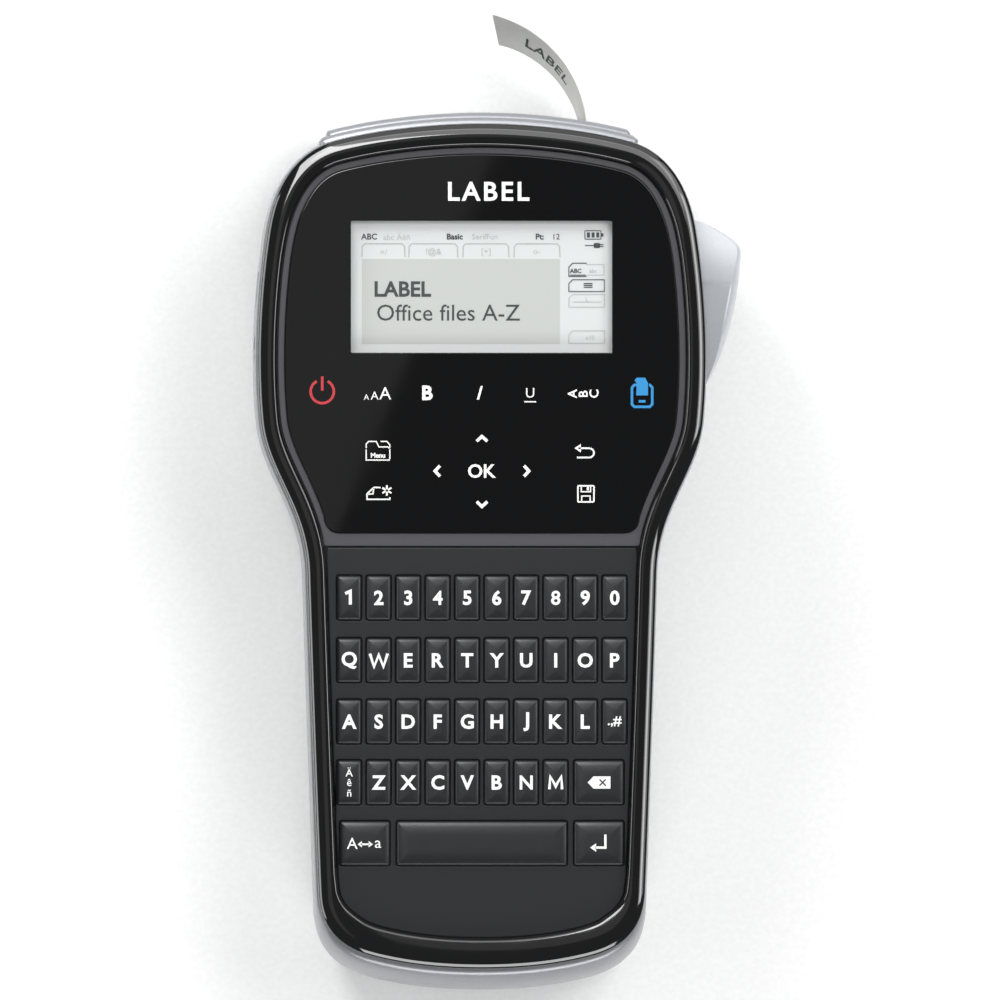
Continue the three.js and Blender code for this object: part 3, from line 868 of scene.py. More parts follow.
def clipped_loop(points, bottom, corner, above=True):
    """The part of a loop above (or below) a level line, with rounded corners on that line."""
    sign = 1 if above else -1
    kept = [point for point in points if sign * (point.y - bottom) > corner]
    right = sorted((p for p in kept if p.x > 0), key=lambda p: sign * p.y)[0]
    left = sorted((p for p in kept if p.x < 0), key=lambda p: sign * p.y)[0]
    start = kept.index(right if above else left)
    kept = kept[start:] + kept[:start]
    ends = (left, right) if above else (right, left)
    pieces = []
    for near, inner in ((ends[0], corner), (ends[1], corner)):
        side = 1 if near.x > 0 else -1
        foot = Vector((near.x - side * inner, bottom))
        knee = Vector((near.x, bottom))
        handles = near.lerp(knee, 0.6), foot.lerp(knee, 0.6)
        curve = interpolate_bezier(*((*point, 0) for point in (near, *handles, foot)), 7)
        pieces.append([point.to_2d() for point in curve])
    return kept + pieces[0][1:] + pieces[1][::-1][:-1]


class BuildHeadPanel(bpy.types.Operator):
    """Satin panel that frames the lens"""

    bl_idname = "label_printer.head_panel"
    bl_label = "Head panel"

    def execute(self, context):
        low, high = node_box("head_panel")
        rim, band = sizes().rim_width, sizes().band_width
        outer = clipped_loop(cover_loop(rim + 0.15, 1), PANEL_SPLIT_Y, 0.6)
        seat = clipped_loop(cover_loop(rim + band - 0.12, 1), LENS_BOTTOM - 0.12, 3.5)
        bm = plate([outer, seat[::-1]], 51.9, high.z, rounding=0.2)
        window = rounded_rect(-32.4, 32.2, 45.4, 79.4, 0.5, hole=True)
        bm = boolean(bm, plate([inset(outer, 0.05), window], low.z, 52.0), "UNION")
        finish_piece(bm, "head_panel_frame", "satin_band",
                     replaces=["head_panel"])
        return {"FINISHED"}


class BuildLens(bpy.types.Operator):
    """Glossy black lens with a clear window over the display"""

    bl_idname = "label_printer.lens"
    bl_label = "Lens"

    def execute(self, context):
        low, high = node_box("screen_lens")
        rim, band = sizes().rim_width, sizes().band_width
        outer = clipped_loop(cover_loop(rim + band, 1), LENS_BOTTOM, 3.5)
        window = rounded_rect(*WINDOW, 0.35, hole=True)
        bm = plate([outer, window], low.z, high.z, rounding=0.12)
        finish_piece(bm, "display_lens", "lens", replaces=["screen_lens"])
        return {"FINISHED"}


class BuildKeypadPlate(bpy.types.Operator):
    """Matt keypad plate with one rounded opening for each key"""

    bl_idname = "label_printer.keypad_plate"
    bl_label = "Keypad plate"

    def execute(self, context):
        low, high = node_box("keypad_plate")
        outer = clipped_loop(cover_loop(sizes().rim_width + 0.15, 1), PANEL_SPLIT_Y - 0.3, 0.6,
                             above=False)
        loops = [outer]
        for key in key_nodes():
            key_low, key_high = node_box(key)
            gap = 0.14
            loops.append(rounded_rect(key_low.x - gap, key_high.x + gap, key_low.y - gap,
                                      key_high.y + gap, sizes().key_corner + 0.1, hole=True))
        bm = plate(loops, low.z, high.z, rounding=0.2)
        finish_piece(bm, "keypad_frame", "keypad", replaces=["keypad_plate"])
        return {"FINISHED"}


# ---- Keys --------------------------------------------------------------------------------------

LEGENDS = {"key_punctuation": ".,#", "key_space": ""}


def key_nodes():
    """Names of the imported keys."""
    return sorted(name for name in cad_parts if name.startswith("key_"))


def key_surface(point, low, high):
    """Height of a key's crowned top: it rolls off towards its edges, most along the lower left."""
    middle, half = (low + high) / 2, (high - low) / 2
    across = (point.x - middle.x) / half.x
    along = (point.y - middle.y) / half.y
    roll_x = max(0.0, abs(point.x - middle.x) - half.x + 3.0) / 3.0
    roll_y = max(0.0, abs(point.y - middle.y) - half.y + 3.5) / 3.5
    fall_x = 0.26 if across > 0 else 0.34
    fall_y = 0.16 if along > 0 else 0.24
    return high.z - 0.15 - (fall_x * roll_x ** 2 + fall_y * roll_y ** 2)


def key_cap(low, high):
    """One key: straight walls, a soft edge and a crowned top."""
    corner = sizes().key_corner
    profile = [(0.0, 0.7), (0.06, 0.4), (0.18, 0.2), (0.36, 0.07), (0.55, 0.0)]
    widest = min(high.x - low.x, high.y - low.y) / 2 - 0.15
    profile += [(0.55 + (widest - 0.55) * step / 6, 0.0) for step in range(1, 7)]
    bm = bmesh.new()
    ring = None
    for side, drop in profile:
        outline = rounded_rect(low.x + side, high.x - side, low.y + side, high.y - side,
                               max(corner - side, 0.1), steps=3)
        if ring is None:
            ring = new_ring(bm, outline, low.z)
            base = loop_edges(bm, ring)
        ring = raise_ring(bm, ring, outline, high.z)
        for vert in ring:
            vert.co.z = key_surface(vert.co, low, high) - drop
    for edges in (base, loop_edges(bm, ring)):
        bmesh.ops.contextual_create(bm, geom=edges)
    bmesh.ops.recalc_face_normals(bm, faces=bm.faces)
    return bm


def accent_legend():
    """Three accented letters, one above the other."""
    bm = bmesh.new()
    for text, y in (("Ä", 2.5), ("ê", 0.0), ("ñ", -2.5)):
        merge(bm, lettering(text, 2.5, bold=0.02), placed(0, y))
    return bm


def backspace_legend():
    """A filled arrow box with a cross cut out of it."""
    arrow = [(-2.7, 0), (-1.3, -1.45), (2.7, -1.45), (2.7, 1.45), (-1.3, 1.45)]
    cross = []
    for start, end in (((0.1, -0.75), (1.6, 0.75)), ((0.1, 0.75), (1.6, -0.75))):
        cross.append(cutting_stroke([start, end], 0.34))
    return cut(sheet(arrow), *cross)


def cutting_stroke(points, width):
    """A stroke tall enough to cut right through a printed shape."""
    bm = stroke(points, width)
    bmesh.ops.scale(bm, vec=(1, 1, 4), verts=bm.verts)
    return bm


def enter_legend():
    """An arrow that comes down and turns left."""
    bm = stroke([(1.5, 2.1), (1.5, -1.0), (-0.9, -1.0)], 0.55)
    return merge(bm, sheet([(-2.1, -1.0), (-0.7, -2.0), (-0.7, 0.0)]))


def caps_legend():
    """A capital and a small letter with an arrow between them."""
    bm = lettering("A", 3.8)
    bmesh.ops.translate(bm, verts=bm.verts, vec=(-3.0, 0, 0))
    merge(bm, lettering("a", 3.8), placed(3.1, -0.2))
    merge(bm, stroke([(-1.0, -0.2), (1.2, -0.2)], 0.4))
    for side in (-1, 1):
        merge(bm, sheet([(0.1 + side * 1.8, -0.2), (0.1 + side * 0.8, -0.2 + side * 0.75),
                         (0.1 + side * 0.8, -0.2 - side * 0.75)]))
    return bm


def key_legend(name):
    """The legend of a key, centred on the origin, or None for a blank key."""
    drawn = {"key_accent": accent_legend, "key_backspace": backspace_legend,
             "key_enter": enter_legend, "key_caps": caps_legend}
    if name in drawn:
        return drawn[name]()
    text = LEGENDS.get(name, name[4:].upper())
    if not text:
        return None
    if text == "1":
        return stroke([(-0.95, 1.0), (0.25, 1.55), (0.25, -1.6)], 0.72)
    if text == "M":
        return stroke([(-1.5, -1.6), (-1.3, 1.4), (0, -0.9), (1.3, 1.4), (1.5, -1.6)], 0.66)
    if text == "W":
        return stroke([(-2.1, 1.6), (-1.1, -1.5), (0, 1.3), (1.1, -1.5), (2.1, 1.6)], 0.68)
    if len(text) > 1:
        return lettering(text, 3.3, bold=0.05)
    return lettering(text, sizes().key_legend, bold=0.1 if text in "N84" else 0.14)


class BuildKeys(bpy.types.Operator):
    """The keys of the keyboard, each with its printed legend"""

    bl_idname = "label_printer.keys"
    bl_label = "Keys"

    def execute(self, context):
        for name in key_nodes():
            low, high = node_box(name)
            finish_piece(key_cap(low, high), f"{name}_cap", "key", body=name,
                         replaces=[name], sharp=50)
            legend = key_legend(name)
            if legend is None:
                continue
            middle = (low + high) / 2
            for vert in legend.verts:
                vert.co.x += middle.x
                vert.co.y += middle.y
                vert.co.z += key_surface(middle, low, high) + 0.02
            finish_piece(legend, f"{name}_legend", "ink_white", body=name)
        return {"FINISHED"}


# ---- Display -----------------------------------------------------------------------------------


class BuildDisplay(bpy.types.Operator):
    """Display module with a status row, ghosted tabs, a text area and label icons"""

    bl_idname = "label_printer.display"
    bl_label = "Display"

    def execute(self, context):
        low, high = node_box("lcd_module")
        glass_top = high.z
        bm = loft([(rounded_rect(low.x, high.x, low.y, high.y, 0.6), low.z),
                   (rounded_rect(low.x, high.x, low.y, high.y, 0.6), 48.9)])
        glass = rounded_rect(-32.2, 32.2, 45.6, 79.2, 0.4)
        bm = boolean(bm, loft([(glass, low.z + 0.5), (glass, glass_top - 0.1),
                               (inset(glass, 0.1), glass_top)]), "UNION")
        finish_piece(bm, "display_module", "display", replaces=["lcd_module"])
        area = sheet(rounded_rect(-28.4, 18.5, 48.9, 69.0, 0.1), 0.02)
        bmesh.ops.translate(area, verts=area.verts, vec=(0, 0, glass_top + 0.02))
        finish_piece(area, "display_text_area", "display_area")
        for name, draw, height in (("on", self.segments_on, 0.05),
                                   ("off", self.segments_off, 0.03)):
            marks = draw()
            bmesh.ops.translate(marks, verts=marks.verts, vec=(0, 0, glass_top + height))
            finish_piece(marks, f"display_segments_{name}", f"mark_{name}")
        return {"FINISHED"}

    def segments_on(self):
        """Lettering and icons of the segments that are switched on."""
        bm = bmesh.new()
        for text, x, y, type_size, bold in (
            ("ABC", -26.7, 74.3, 1.95, 0.035), ("Basic", -6.4, 74.3, 1.9, 0.05),
            ("Pt:", 13.7, 74.3, 1.9, 0.05), ("12", 17.7, 74.3, 1.9, 0.0),
            ("LABEL", -18.7, 61.9, 5.0, 0.13), ("Office files A-Z", -7.9, 56.3, 5.5, 0.0),
            ("ABC", 22.2, 66.2, 1.4, 0.03),
        ):
            merge(bm, lettering(text, type_size, bold), placed(x, y))
        merge(bm, box_line(24.4, 28.2, 73.7, 75.7, 0.2, 0.15))
        merge(bm, sheet([(28.3, 74.3), (28.8, 74.3), (28.8, 75.1), (28.3, 75.1)]))
        for column in range(3):
            x = 24.9 + 1.1 * column
            merge(bm, sheet([(x, 74.1), (x + 0.7, 74.1), (x + 0.7, 75.3), (x, 75.3)]))
        merge(bm, stroke([(24.4, 72.2), (26.6, 72.2)], 0.22))
        merge(bm, sheet(rounded_rect(26.5, 28.0, 71.6, 72.8, 0.3)))
        for y in (71.95, 72.45):
            merge(bm, stroke([(28.0, y), (28.8, y)], 0.2))
        merge(bm, self.label_icon(61.3, 64.1))
        for y in (62.3, 62.75, 63.2):
            merge(bm, stroke([(24.1, y), (26.2, y)], 0.24))
        merge(bm, self.label_icon(64.9, 68.0, left_only=True))
        merge(bm, stroke([(20.9, 65.2), (24.6, 65.2)], 0.18))
        return bm

    def segments_off(self):
        """Ghosted lettering, tabs and icons of the segments that are off."""
        bm = bmesh.new()
        merge(bm, lettering("abc Äêñ", 1.95), placed(-20.2, 74.3))
        merge(bm, lettering("SerifFun", 1.9), placed(0.7, 74.3))
        for left, right in ((-28.4, -18.2), (-17.3, -5.7), (-4.5, 6.4), (7.6, 18.5)):
            merge(bm, stroke([(left, 69.4), (left + 0.1, 72.0), (left + 0.7, 72.6),
                              (right - 0.7, 72.6), (right - 0.1, 72.0), (right, 69.4)], 0.3))
        for text, x in (("=/", -23.2), ("!@&", -11.4), ("[+]", 1.0), ("o-", 13.0)):
            merge(bm, lettering(text, 2.0), placed(x, 70.6))
        merge(bm, lettering("abc", 1.4), placed(26.4, 66.2))
        merge(bm, stroke([(24.8, 65.2), (28.9, 65.2), (28.9, 67.7), (24.8, 67.7)], 0.2))
        merge(bm, self.label_icon(57.6, 60.6))
        merge(bm, stroke([(21.6, 58.8), (28.2, 58.8)], 0.2))
        merge(bm, lettering("L", 1.5), placed(24.9, 59.5))
        merge(bm, self.label_icon(49.1, 52.0))
        merge(bm, lettering("x10", 1.4), placed(25.6, 50.4))
        return bm

    def label_icon(self, bottom, top, left_only=False):
        """A label with a folded corner."""
        right = 24.8 if left_only else 29.0
        return stroke([(right, bottom), (20.6, bottom), (20.6, top - 0.9), (21.5, top),
                       (right, top)], 0.2, closed=not left_only)


# ---- Icons printed behind the lens -------------------------------------------------------------


def chevron(x, y, turn):
    """A thick arrow head that points up before it is turned."""
    bm = stroke([(-1.25, -0.55), (0, 0.6), (1.25, -0.55)], 0.72)
    bm.transform(placed(x, y, turn=turn))
    return bm


class BuildIcons(bpy.types.Operator):
    """Touch icons and the generic word printed on the lens"""

    bl_idname = "label_printer.icons"
    bl_label = "Lens icons"

    def execute(self, context):
        lens_top = node_box("screen_lens")[1].z
        for name, draw, finish in (("white_icons", self.white, "ink_white"),
                                   ("power_icon", self.power, "ink_red"),
                                   ("print_icon", self.printing, "ink_blue")):
            bm = draw()
            bmesh.ops.translate(bm, verts=bm.verts, vec=(0, 0, lens_top + 0.01))
            finish_piece(bm, name, finish)
        return {"FINISHED"}

    def white(self):
        """The word and the white touch icons."""
        bm = lettering("LABEL", 6.2, 0.13, spacing=1.22)
        bmesh.ops.translate(bm, verts=bm.verts, vec=(1.6, 85.0, 0))
        for text, x, y, type_size, bold in (
            ("A", -27.35, 36.3, 1.9, 0.0), ("A", -25.4, 36.65, 2.8, 0.0),
            ("A", -22.9, 37.2, 4.2, 0.0), ("B", -12.9, 37.3, 4.6, 0.17),
            ("U", 11.4, 37.3, 3.3, 0.0), ("OK", 0.0, 18.8, 4.4, 0.09),
            ("Menu", -24.6, 22.5, 1.55, 0.06),
        ):
            merge(bm, lettering(text, type_size, bold), placed(x, y))
        merge(bm, lettering("I", 4.6, 0.04), placed(-0.5, 37.3, shear=0.28))
        merge(bm, stroke([(10.0, 35.2), (12.8, 35.2)], 0.3))
        for index, letter in enumerate("ABC"):
            merge(bm, lettering(letter, 3.0, 0.05), placed(21.4 + 2.55 * index, 37.1, turn=90))
        for x, y, turn in ((0, 26.4, 0), (-10.5, 18.8, 90), (0, 11.0, 180), (10.5, 18.8, -90)):
            merge(bm, chevron(x, y, turn))
        self.add_menu(bm)
        self.add_new_label(bm)
        self.add_back(bm)
        self.add_save(bm)
        return bm

    def add_menu(self, bm):
        """A folder behind the menu word."""
        merge(bm, stroke([(-27.4, 23.9), (-27.4, 25.2), (-26.8, 25.8), (-25.0, 25.8),
                          (-24.4, 24.5), (-22.3, 24.5), (-21.8, 24.1), (-21.8, 21.6)], 0.28))
        merge(bm, stroke([(-24.0, 25.8), (-22.5, 25.8), (-21.8, 25.0), (-21.8, 24.0)], 0.28))
        merge(bm, stroke([(-27.4, 24.2), (-27.4, 21.4), (-21.8, 21.4)], 0.28))

    def add_new_label(self, bm):
        """A label with a spark over it."""
        merge(bm, stroke([(-24.0, 14.9), (-25.6, 14.9), (-27.2, 13.4), (-27.2, 12.1),
                          (-21.8, 12.1), (-21.8, 12.6)], 0.34))
        merge(bm, stroke([(-25.6, 14.8), (-25.8, 13.4), (-27.1, 13.3)], 0.3))
        for turn in range(3):
            ray = stroke([(0, -1.25), (0, 1.25)], 0.42)
            merge(bm, ray, placed(-22.5, 14.2, turn=60 * turn))

    def add_back(self, bm):
        """An arrow that turns back to the left."""
        points = [(22.8, 24.2), (25.4, 24.2)]
        points += [tuple(point) for point in arc(25.4, 23.1, 1.1, 90, -90, 8)[1:]] + [(22.5, 22.0)]
        merge(bm, stroke(points, 0.4))
        merge(bm, sheet([(21.9, 24.2), (23.4, 23.2), (23.4, 25.2)]))

    def add_save(self, bm):
        """A disk."""
        merge(bm, box_line(22.7, 26.5, 11.5, 15.3, 0.36, 0.25))
        merge(bm, stroke([(23.5, 15.2), (23.5, 13.9), (25.7, 13.9), (25.7, 15.2)], 0.28))
        merge(bm, stroke([(23.6, 11.6), (23.6, 12.9), (25.6, 12.9), (25.6, 11.6)], 0.28))
        merge(bm, sheet([(24.8, 14.2), (25.3, 14.2), (25.3, 15.1), (24.8, 15.1)]))

    def power(self):
        """A broken ring with a bar."""
        circle = [tuple(point) for point in arc(-37.8, 37.6, 2.75, 118, 422, 36)]
        bm = stroke(circle, 0.62)
        return merge(bm, stroke([(-37.8, 37.8), (-37.8, 41.2)], 0.62))

    def printing(self):
        """A printer with a sheet in it."""
        bm = stroke([(36.6, 39.2), (36.1, 39.2), (35.5, 38.6), (35.5, 34.6), (36.1, 34.0),
                     (39.7, 34.0), (40.3, 34.6), (40.3, 38.6), (39.7, 39.2), (39.5, 39.2)], 0.6)
        merge(bm, sheet([(36.5, 36.7), (39.3, 36.7), (39.3, 39.6), (38.6, 40.9), (36.6, 40.9),
                         (36.1, 40.3), (36.6, 39.6)]))
        return merge(bm, stroke([(37.1, 35.3), (38.7, 35.3)], 0.6))


# ---- Printed label -----------------------------------------------------------------------------

LABEL = {"x": 25.1, "z": 14.2, "start": 97.3, "radius": 27.7, "turn": 76.0, "width": 12.0,
         "thickness": 0.18, "lean": (3.0, 32.0)}


def on_label(along, up, out):
    """A point of the curled label: `along` mm out of the exit, `up` its width, `out` its face."""
    fan = 0.16 * up * (along / LABEL["radius"]) ** 2
    angle = (along + fan) / LABEL["radius"]
    share = math.degrees(angle) / LABEL["turn"]
    lean = math.radians(LABEL["lean"][0] + (LABEL["lean"][1] - LABEL["lean"][0]) * share)
    across = out * math.cos(lean) + up * math.sin(lean)
    reach = LABEL["radius"] + across
    return Vector((LABEL["x"] - LABEL["radius"] + reach * math.cos(angle),
                   LABEL["start"] + reach * math.sin(angle),
                   LABEL["z"] + up * math.cos(lean) - out * math.sin(lean)))


class BuildLabel(bpy.types.Operator):
    """Printed label that curls out of the exit, with a generic word on it"""

    bl_idname = "label_printer.label"
    bl_label = "Printed label"

    def execute(self, context):
        half, thick = LABEL["width"] / 2, LABEL["thickness"] / 2
        length = LABEL["radius"] * math.radians(LABEL["turn"])
        bm = bmesh.new()
        outline = rounded_rect(-thick, thick, -half, half, thick * 0.6, steps=2)
        ring = [bm.verts.new(on_label(0, point.y, point.x)) for point in outline]
        for index, vert in enumerate(ring):
            bm.edges.new((ring[index - 1], vert))
        first = ring
        steps = 90
        for step in range(1, steps + 1):
            along = length * step / steps
            ring = raise_ring(bm, ring, outline, 0)
            for vert, point in zip(ring, outline):
                vert.co = on_label(along, point.y, point.x)
        for loop in (first, ring):
            bmesh.ops.contextual_create(bm, geom=loop_edges(bm, loop))
        bmesh.ops.recalc_face_normals(bm, faces=bm.faces)
        finish_piece(bm, "label_strip", "label", replaces=["label_tape"])
        word = lettering("LABEL", 5.4, 0.02, depth=0.03, resolution=4)
        bmesh.ops.subdivide_edges(word, edges=[e for e in word.edges if e.calc_length() > 0.9],
                                  cuts=3)
        for vert in word.verts:
            vert.co = on_label(22.0 - vert.co.x, vert.co.y, -thick - 0.02 - vert.co.z)
        bmesh.ops.recalc_face_normals(word, faces=word.faces)
        finish_piece(word, "label_print", "ink_black")
        return {"FINISHED"}


# ---- Back of the printer -----------------------------------------------------------------------

SCREWS = ((-24, -3), (24, -3), (-31, 89), (28, 89))
FEET = ((-32, 11), (32, 11))


def screw_head(x, y, z):
    """A pan-head screw that faces down, with a cross recess."""
    profile = [(0, z + 1.5), (2.5, z + 1.5), (2.55, z + 0.9), (2.35, z + 0.35), (1.7, z + 0.08),
               (0, z)]
    head = turned(x, y, profile[::-1], segments=36)
    for turn in (45, 135):
        slot = block(-1.5, 1.5, -0.28, 0.28, -0.5, 0.75)
        slot.transform(placed(x, y, z, turn=turn))
        head = boolean(head, slot, "DIFFERENCE")
    return head


class BuildBack(bpy.types.Operator):
    """Screws, rubber feet, cassette cover and the battery cover's grip on the back"""

    bl_idname = "label_printer.back"
    bl_label = "Back details"

    def execute(self, context):
        for index, (x, y) in enumerate(SCREWS):
            finish_piece(screw_head(x, y, 0.5), f"case_screw_{index + 1}", "steel")
        for index, (x, y) in enumerate(FEET):
            pad = turned(x, y, [(0, -0.12), (3.2, -0.12), (3.8, 0.0), (3.95, 0.25), (3.95, 0.85),
                                (0, 0.85)], segments=48)
            finish_piece(pad, f"rubber_foot_{index + 1}", "rubber")
        self.add_cassette_cover()
        self.add_battery_cover()
        return {"FINISHED"}

    def add_cassette_cover(self):
        """The hinged door with its barrel, finger scoop and grip bars."""
        low, high = node_box("cassette_cover")
        middle, hinge = -3.5, 21.2
        corner = 8
        straight = corner - 3.26  # where the hinge line meets the round corners
        edge = rounded_rect(low.x, high.x, 20.5, high.y, corner, steps=10)
        outline = [Vector((low.x + straight, hinge)), Vector((high.x - straight, hinge)),
                   *around([point for point in edge if point.y > hinge], middle)]
        rings = [(inset(outline, 0.35), 0.3), (inset(outline, 0.1), 0.4), (outline, 0.65),
                 (outline, 2.25), (inset(outline, 0.15), 2.4)]
        bm = loft(rings)
        barrel = turned(0, 0, [(0, -31), (1.05, -31), (1.05, 31), (0, 31)], segments=32)
        barrel.transform(Matrix.Translation((middle, hinge, 1.35)) @
                         Matrix.Rotation(math.pi / 2, 4, "Y"))
        bm = boolean(bm, barrel, "UNION")
        bm = cut(bm, block(-13, 6, 68, 77.5, -1, 1.1, 4.0))
        finish_piece(bm, "cassette_door", "silver", body="cassette_cover",
                     replaces=["cassette_cover"])
        grip = bmesh.new()
        for row in range(4):
            merge(grip, block(-10, 3, 69.6 + 1.9 * row, 70.4 + 1.9 * row, 0.45, 1.2, 0.35))
        finish_piece(grip, "cassette_door_grip", "silver", body="cassette_cover")

    def add_battery_cover(self):
        """Grip bars and an arrow on the sliding battery cover."""
        grip = bmesh.new()
        for row in range(6):
            y = -34 - 2.2 * row
            merge(grip, block(-9, 9, y - 0.45, y + 0.45, 0.02, 0.5, 0.4))
        arrow = [Vector((0, -54)), Vector((3.4, -49.6)), Vector((-3.4, -49.6))]
        merge(grip, plate([arrow], 0.02, 0.5))
        finish_piece(grip, "battery_cover_grip", "silver", body="battery_cover")


# ---- Side sockets ------------------------------------------------------------------------------


class BuildSockets(bpy.types.Operator):
    """Charging jack and data socket in the left wall, above the mechanism plate"""

    bl_idname = "label_printer.sockets"
    bl_label = "Side sockets"

    def execute(self, context):
        shell = loft([(rounded_rect(-3.9, 3.9, -1.45, 1.45, 0.9, steps=5), 0),
                      (rounded_rect(-3.9, 3.9, -1.45, 1.45, 0.9, steps=5), 6.5)])
        shell = cut(shell, loft([(rounded_rect(-3.55, 3.55, -1.1, 1.1, 0.7, steps=5), -1),
                                 (rounded_rect(-3.55, 3.55, -1.1, 1.1, 0.7, steps=5), 5.8)]))
        shell.transform(side_place(62, 32))
        finish_piece(shell, "data_socket_shell", "steel")
        tongue = block(-2.6, 2.6, -0.3, 0.3, 1.0, 6.0)
        tongue.transform(side_place(62, 32))
        finish_piece(tongue, "data_socket_tongue", "moulded_black")
        jack = turned(0, 0, [(1.75, 0.2), (2.9, 0.2), (2.9, 7.5), (0, 7.5), (0, 7.0), (1.75, 7.0),
                             (1.75, 0.2)], segments=40)
        jack.transform(side_place(48, 32))
        finish_piece(jack, "charging_jack", "moulded_black")
        pin = turned(0, 0, [(0, 1.2), (0.45, 1.2), (0.6, 1.5), (0.6, 7.2), (0, 7.2)], segments=24)
        pin.transform(side_place(48, 32))
        finish_piece(pin, "charging_pin", "steel")
        return {"FINISHED"}


def side_place(y, z):
    """Turns a shape drawn along +Z so that it runs from the left wall into the casing."""
    turn = Matrix(((0, 0, 1, 0), (1, 0, 0, 0), (0, 1, 0, 0), (0, 0, 0, 1)))
    return Matrix.Translation((-52.6, y, z)) @ turn


# ---- Inside ------------------------------------------------------------------------------------


def gear(x, y, teeth, radius, low, high, bore):
    """A spur gear with straight-sided teeth, turned from the shared pitch radius."""
    outline = []
    for tooth in range(teeth):
        start = math.tau * tooth / teeth
        for share, depth in ((0.0, -0.45), (0.2, -0.45), (0.34, 0.0), (0.42, 0.38), (0.62, 0.38),
                             (0.7, 0.0), (0.84, -0.45)):
            angle = start + math.tau / teeth * share
            outline.append(Vector((x + (radius + depth - 0.4) * math.cos(angle),
                                   y + (radius + depth - 0.4) * math.sin(angle))))
    hole = arc(x, y, bore, 360, 0, 24)[:-1]
    return plate([outline, hole], low, high)


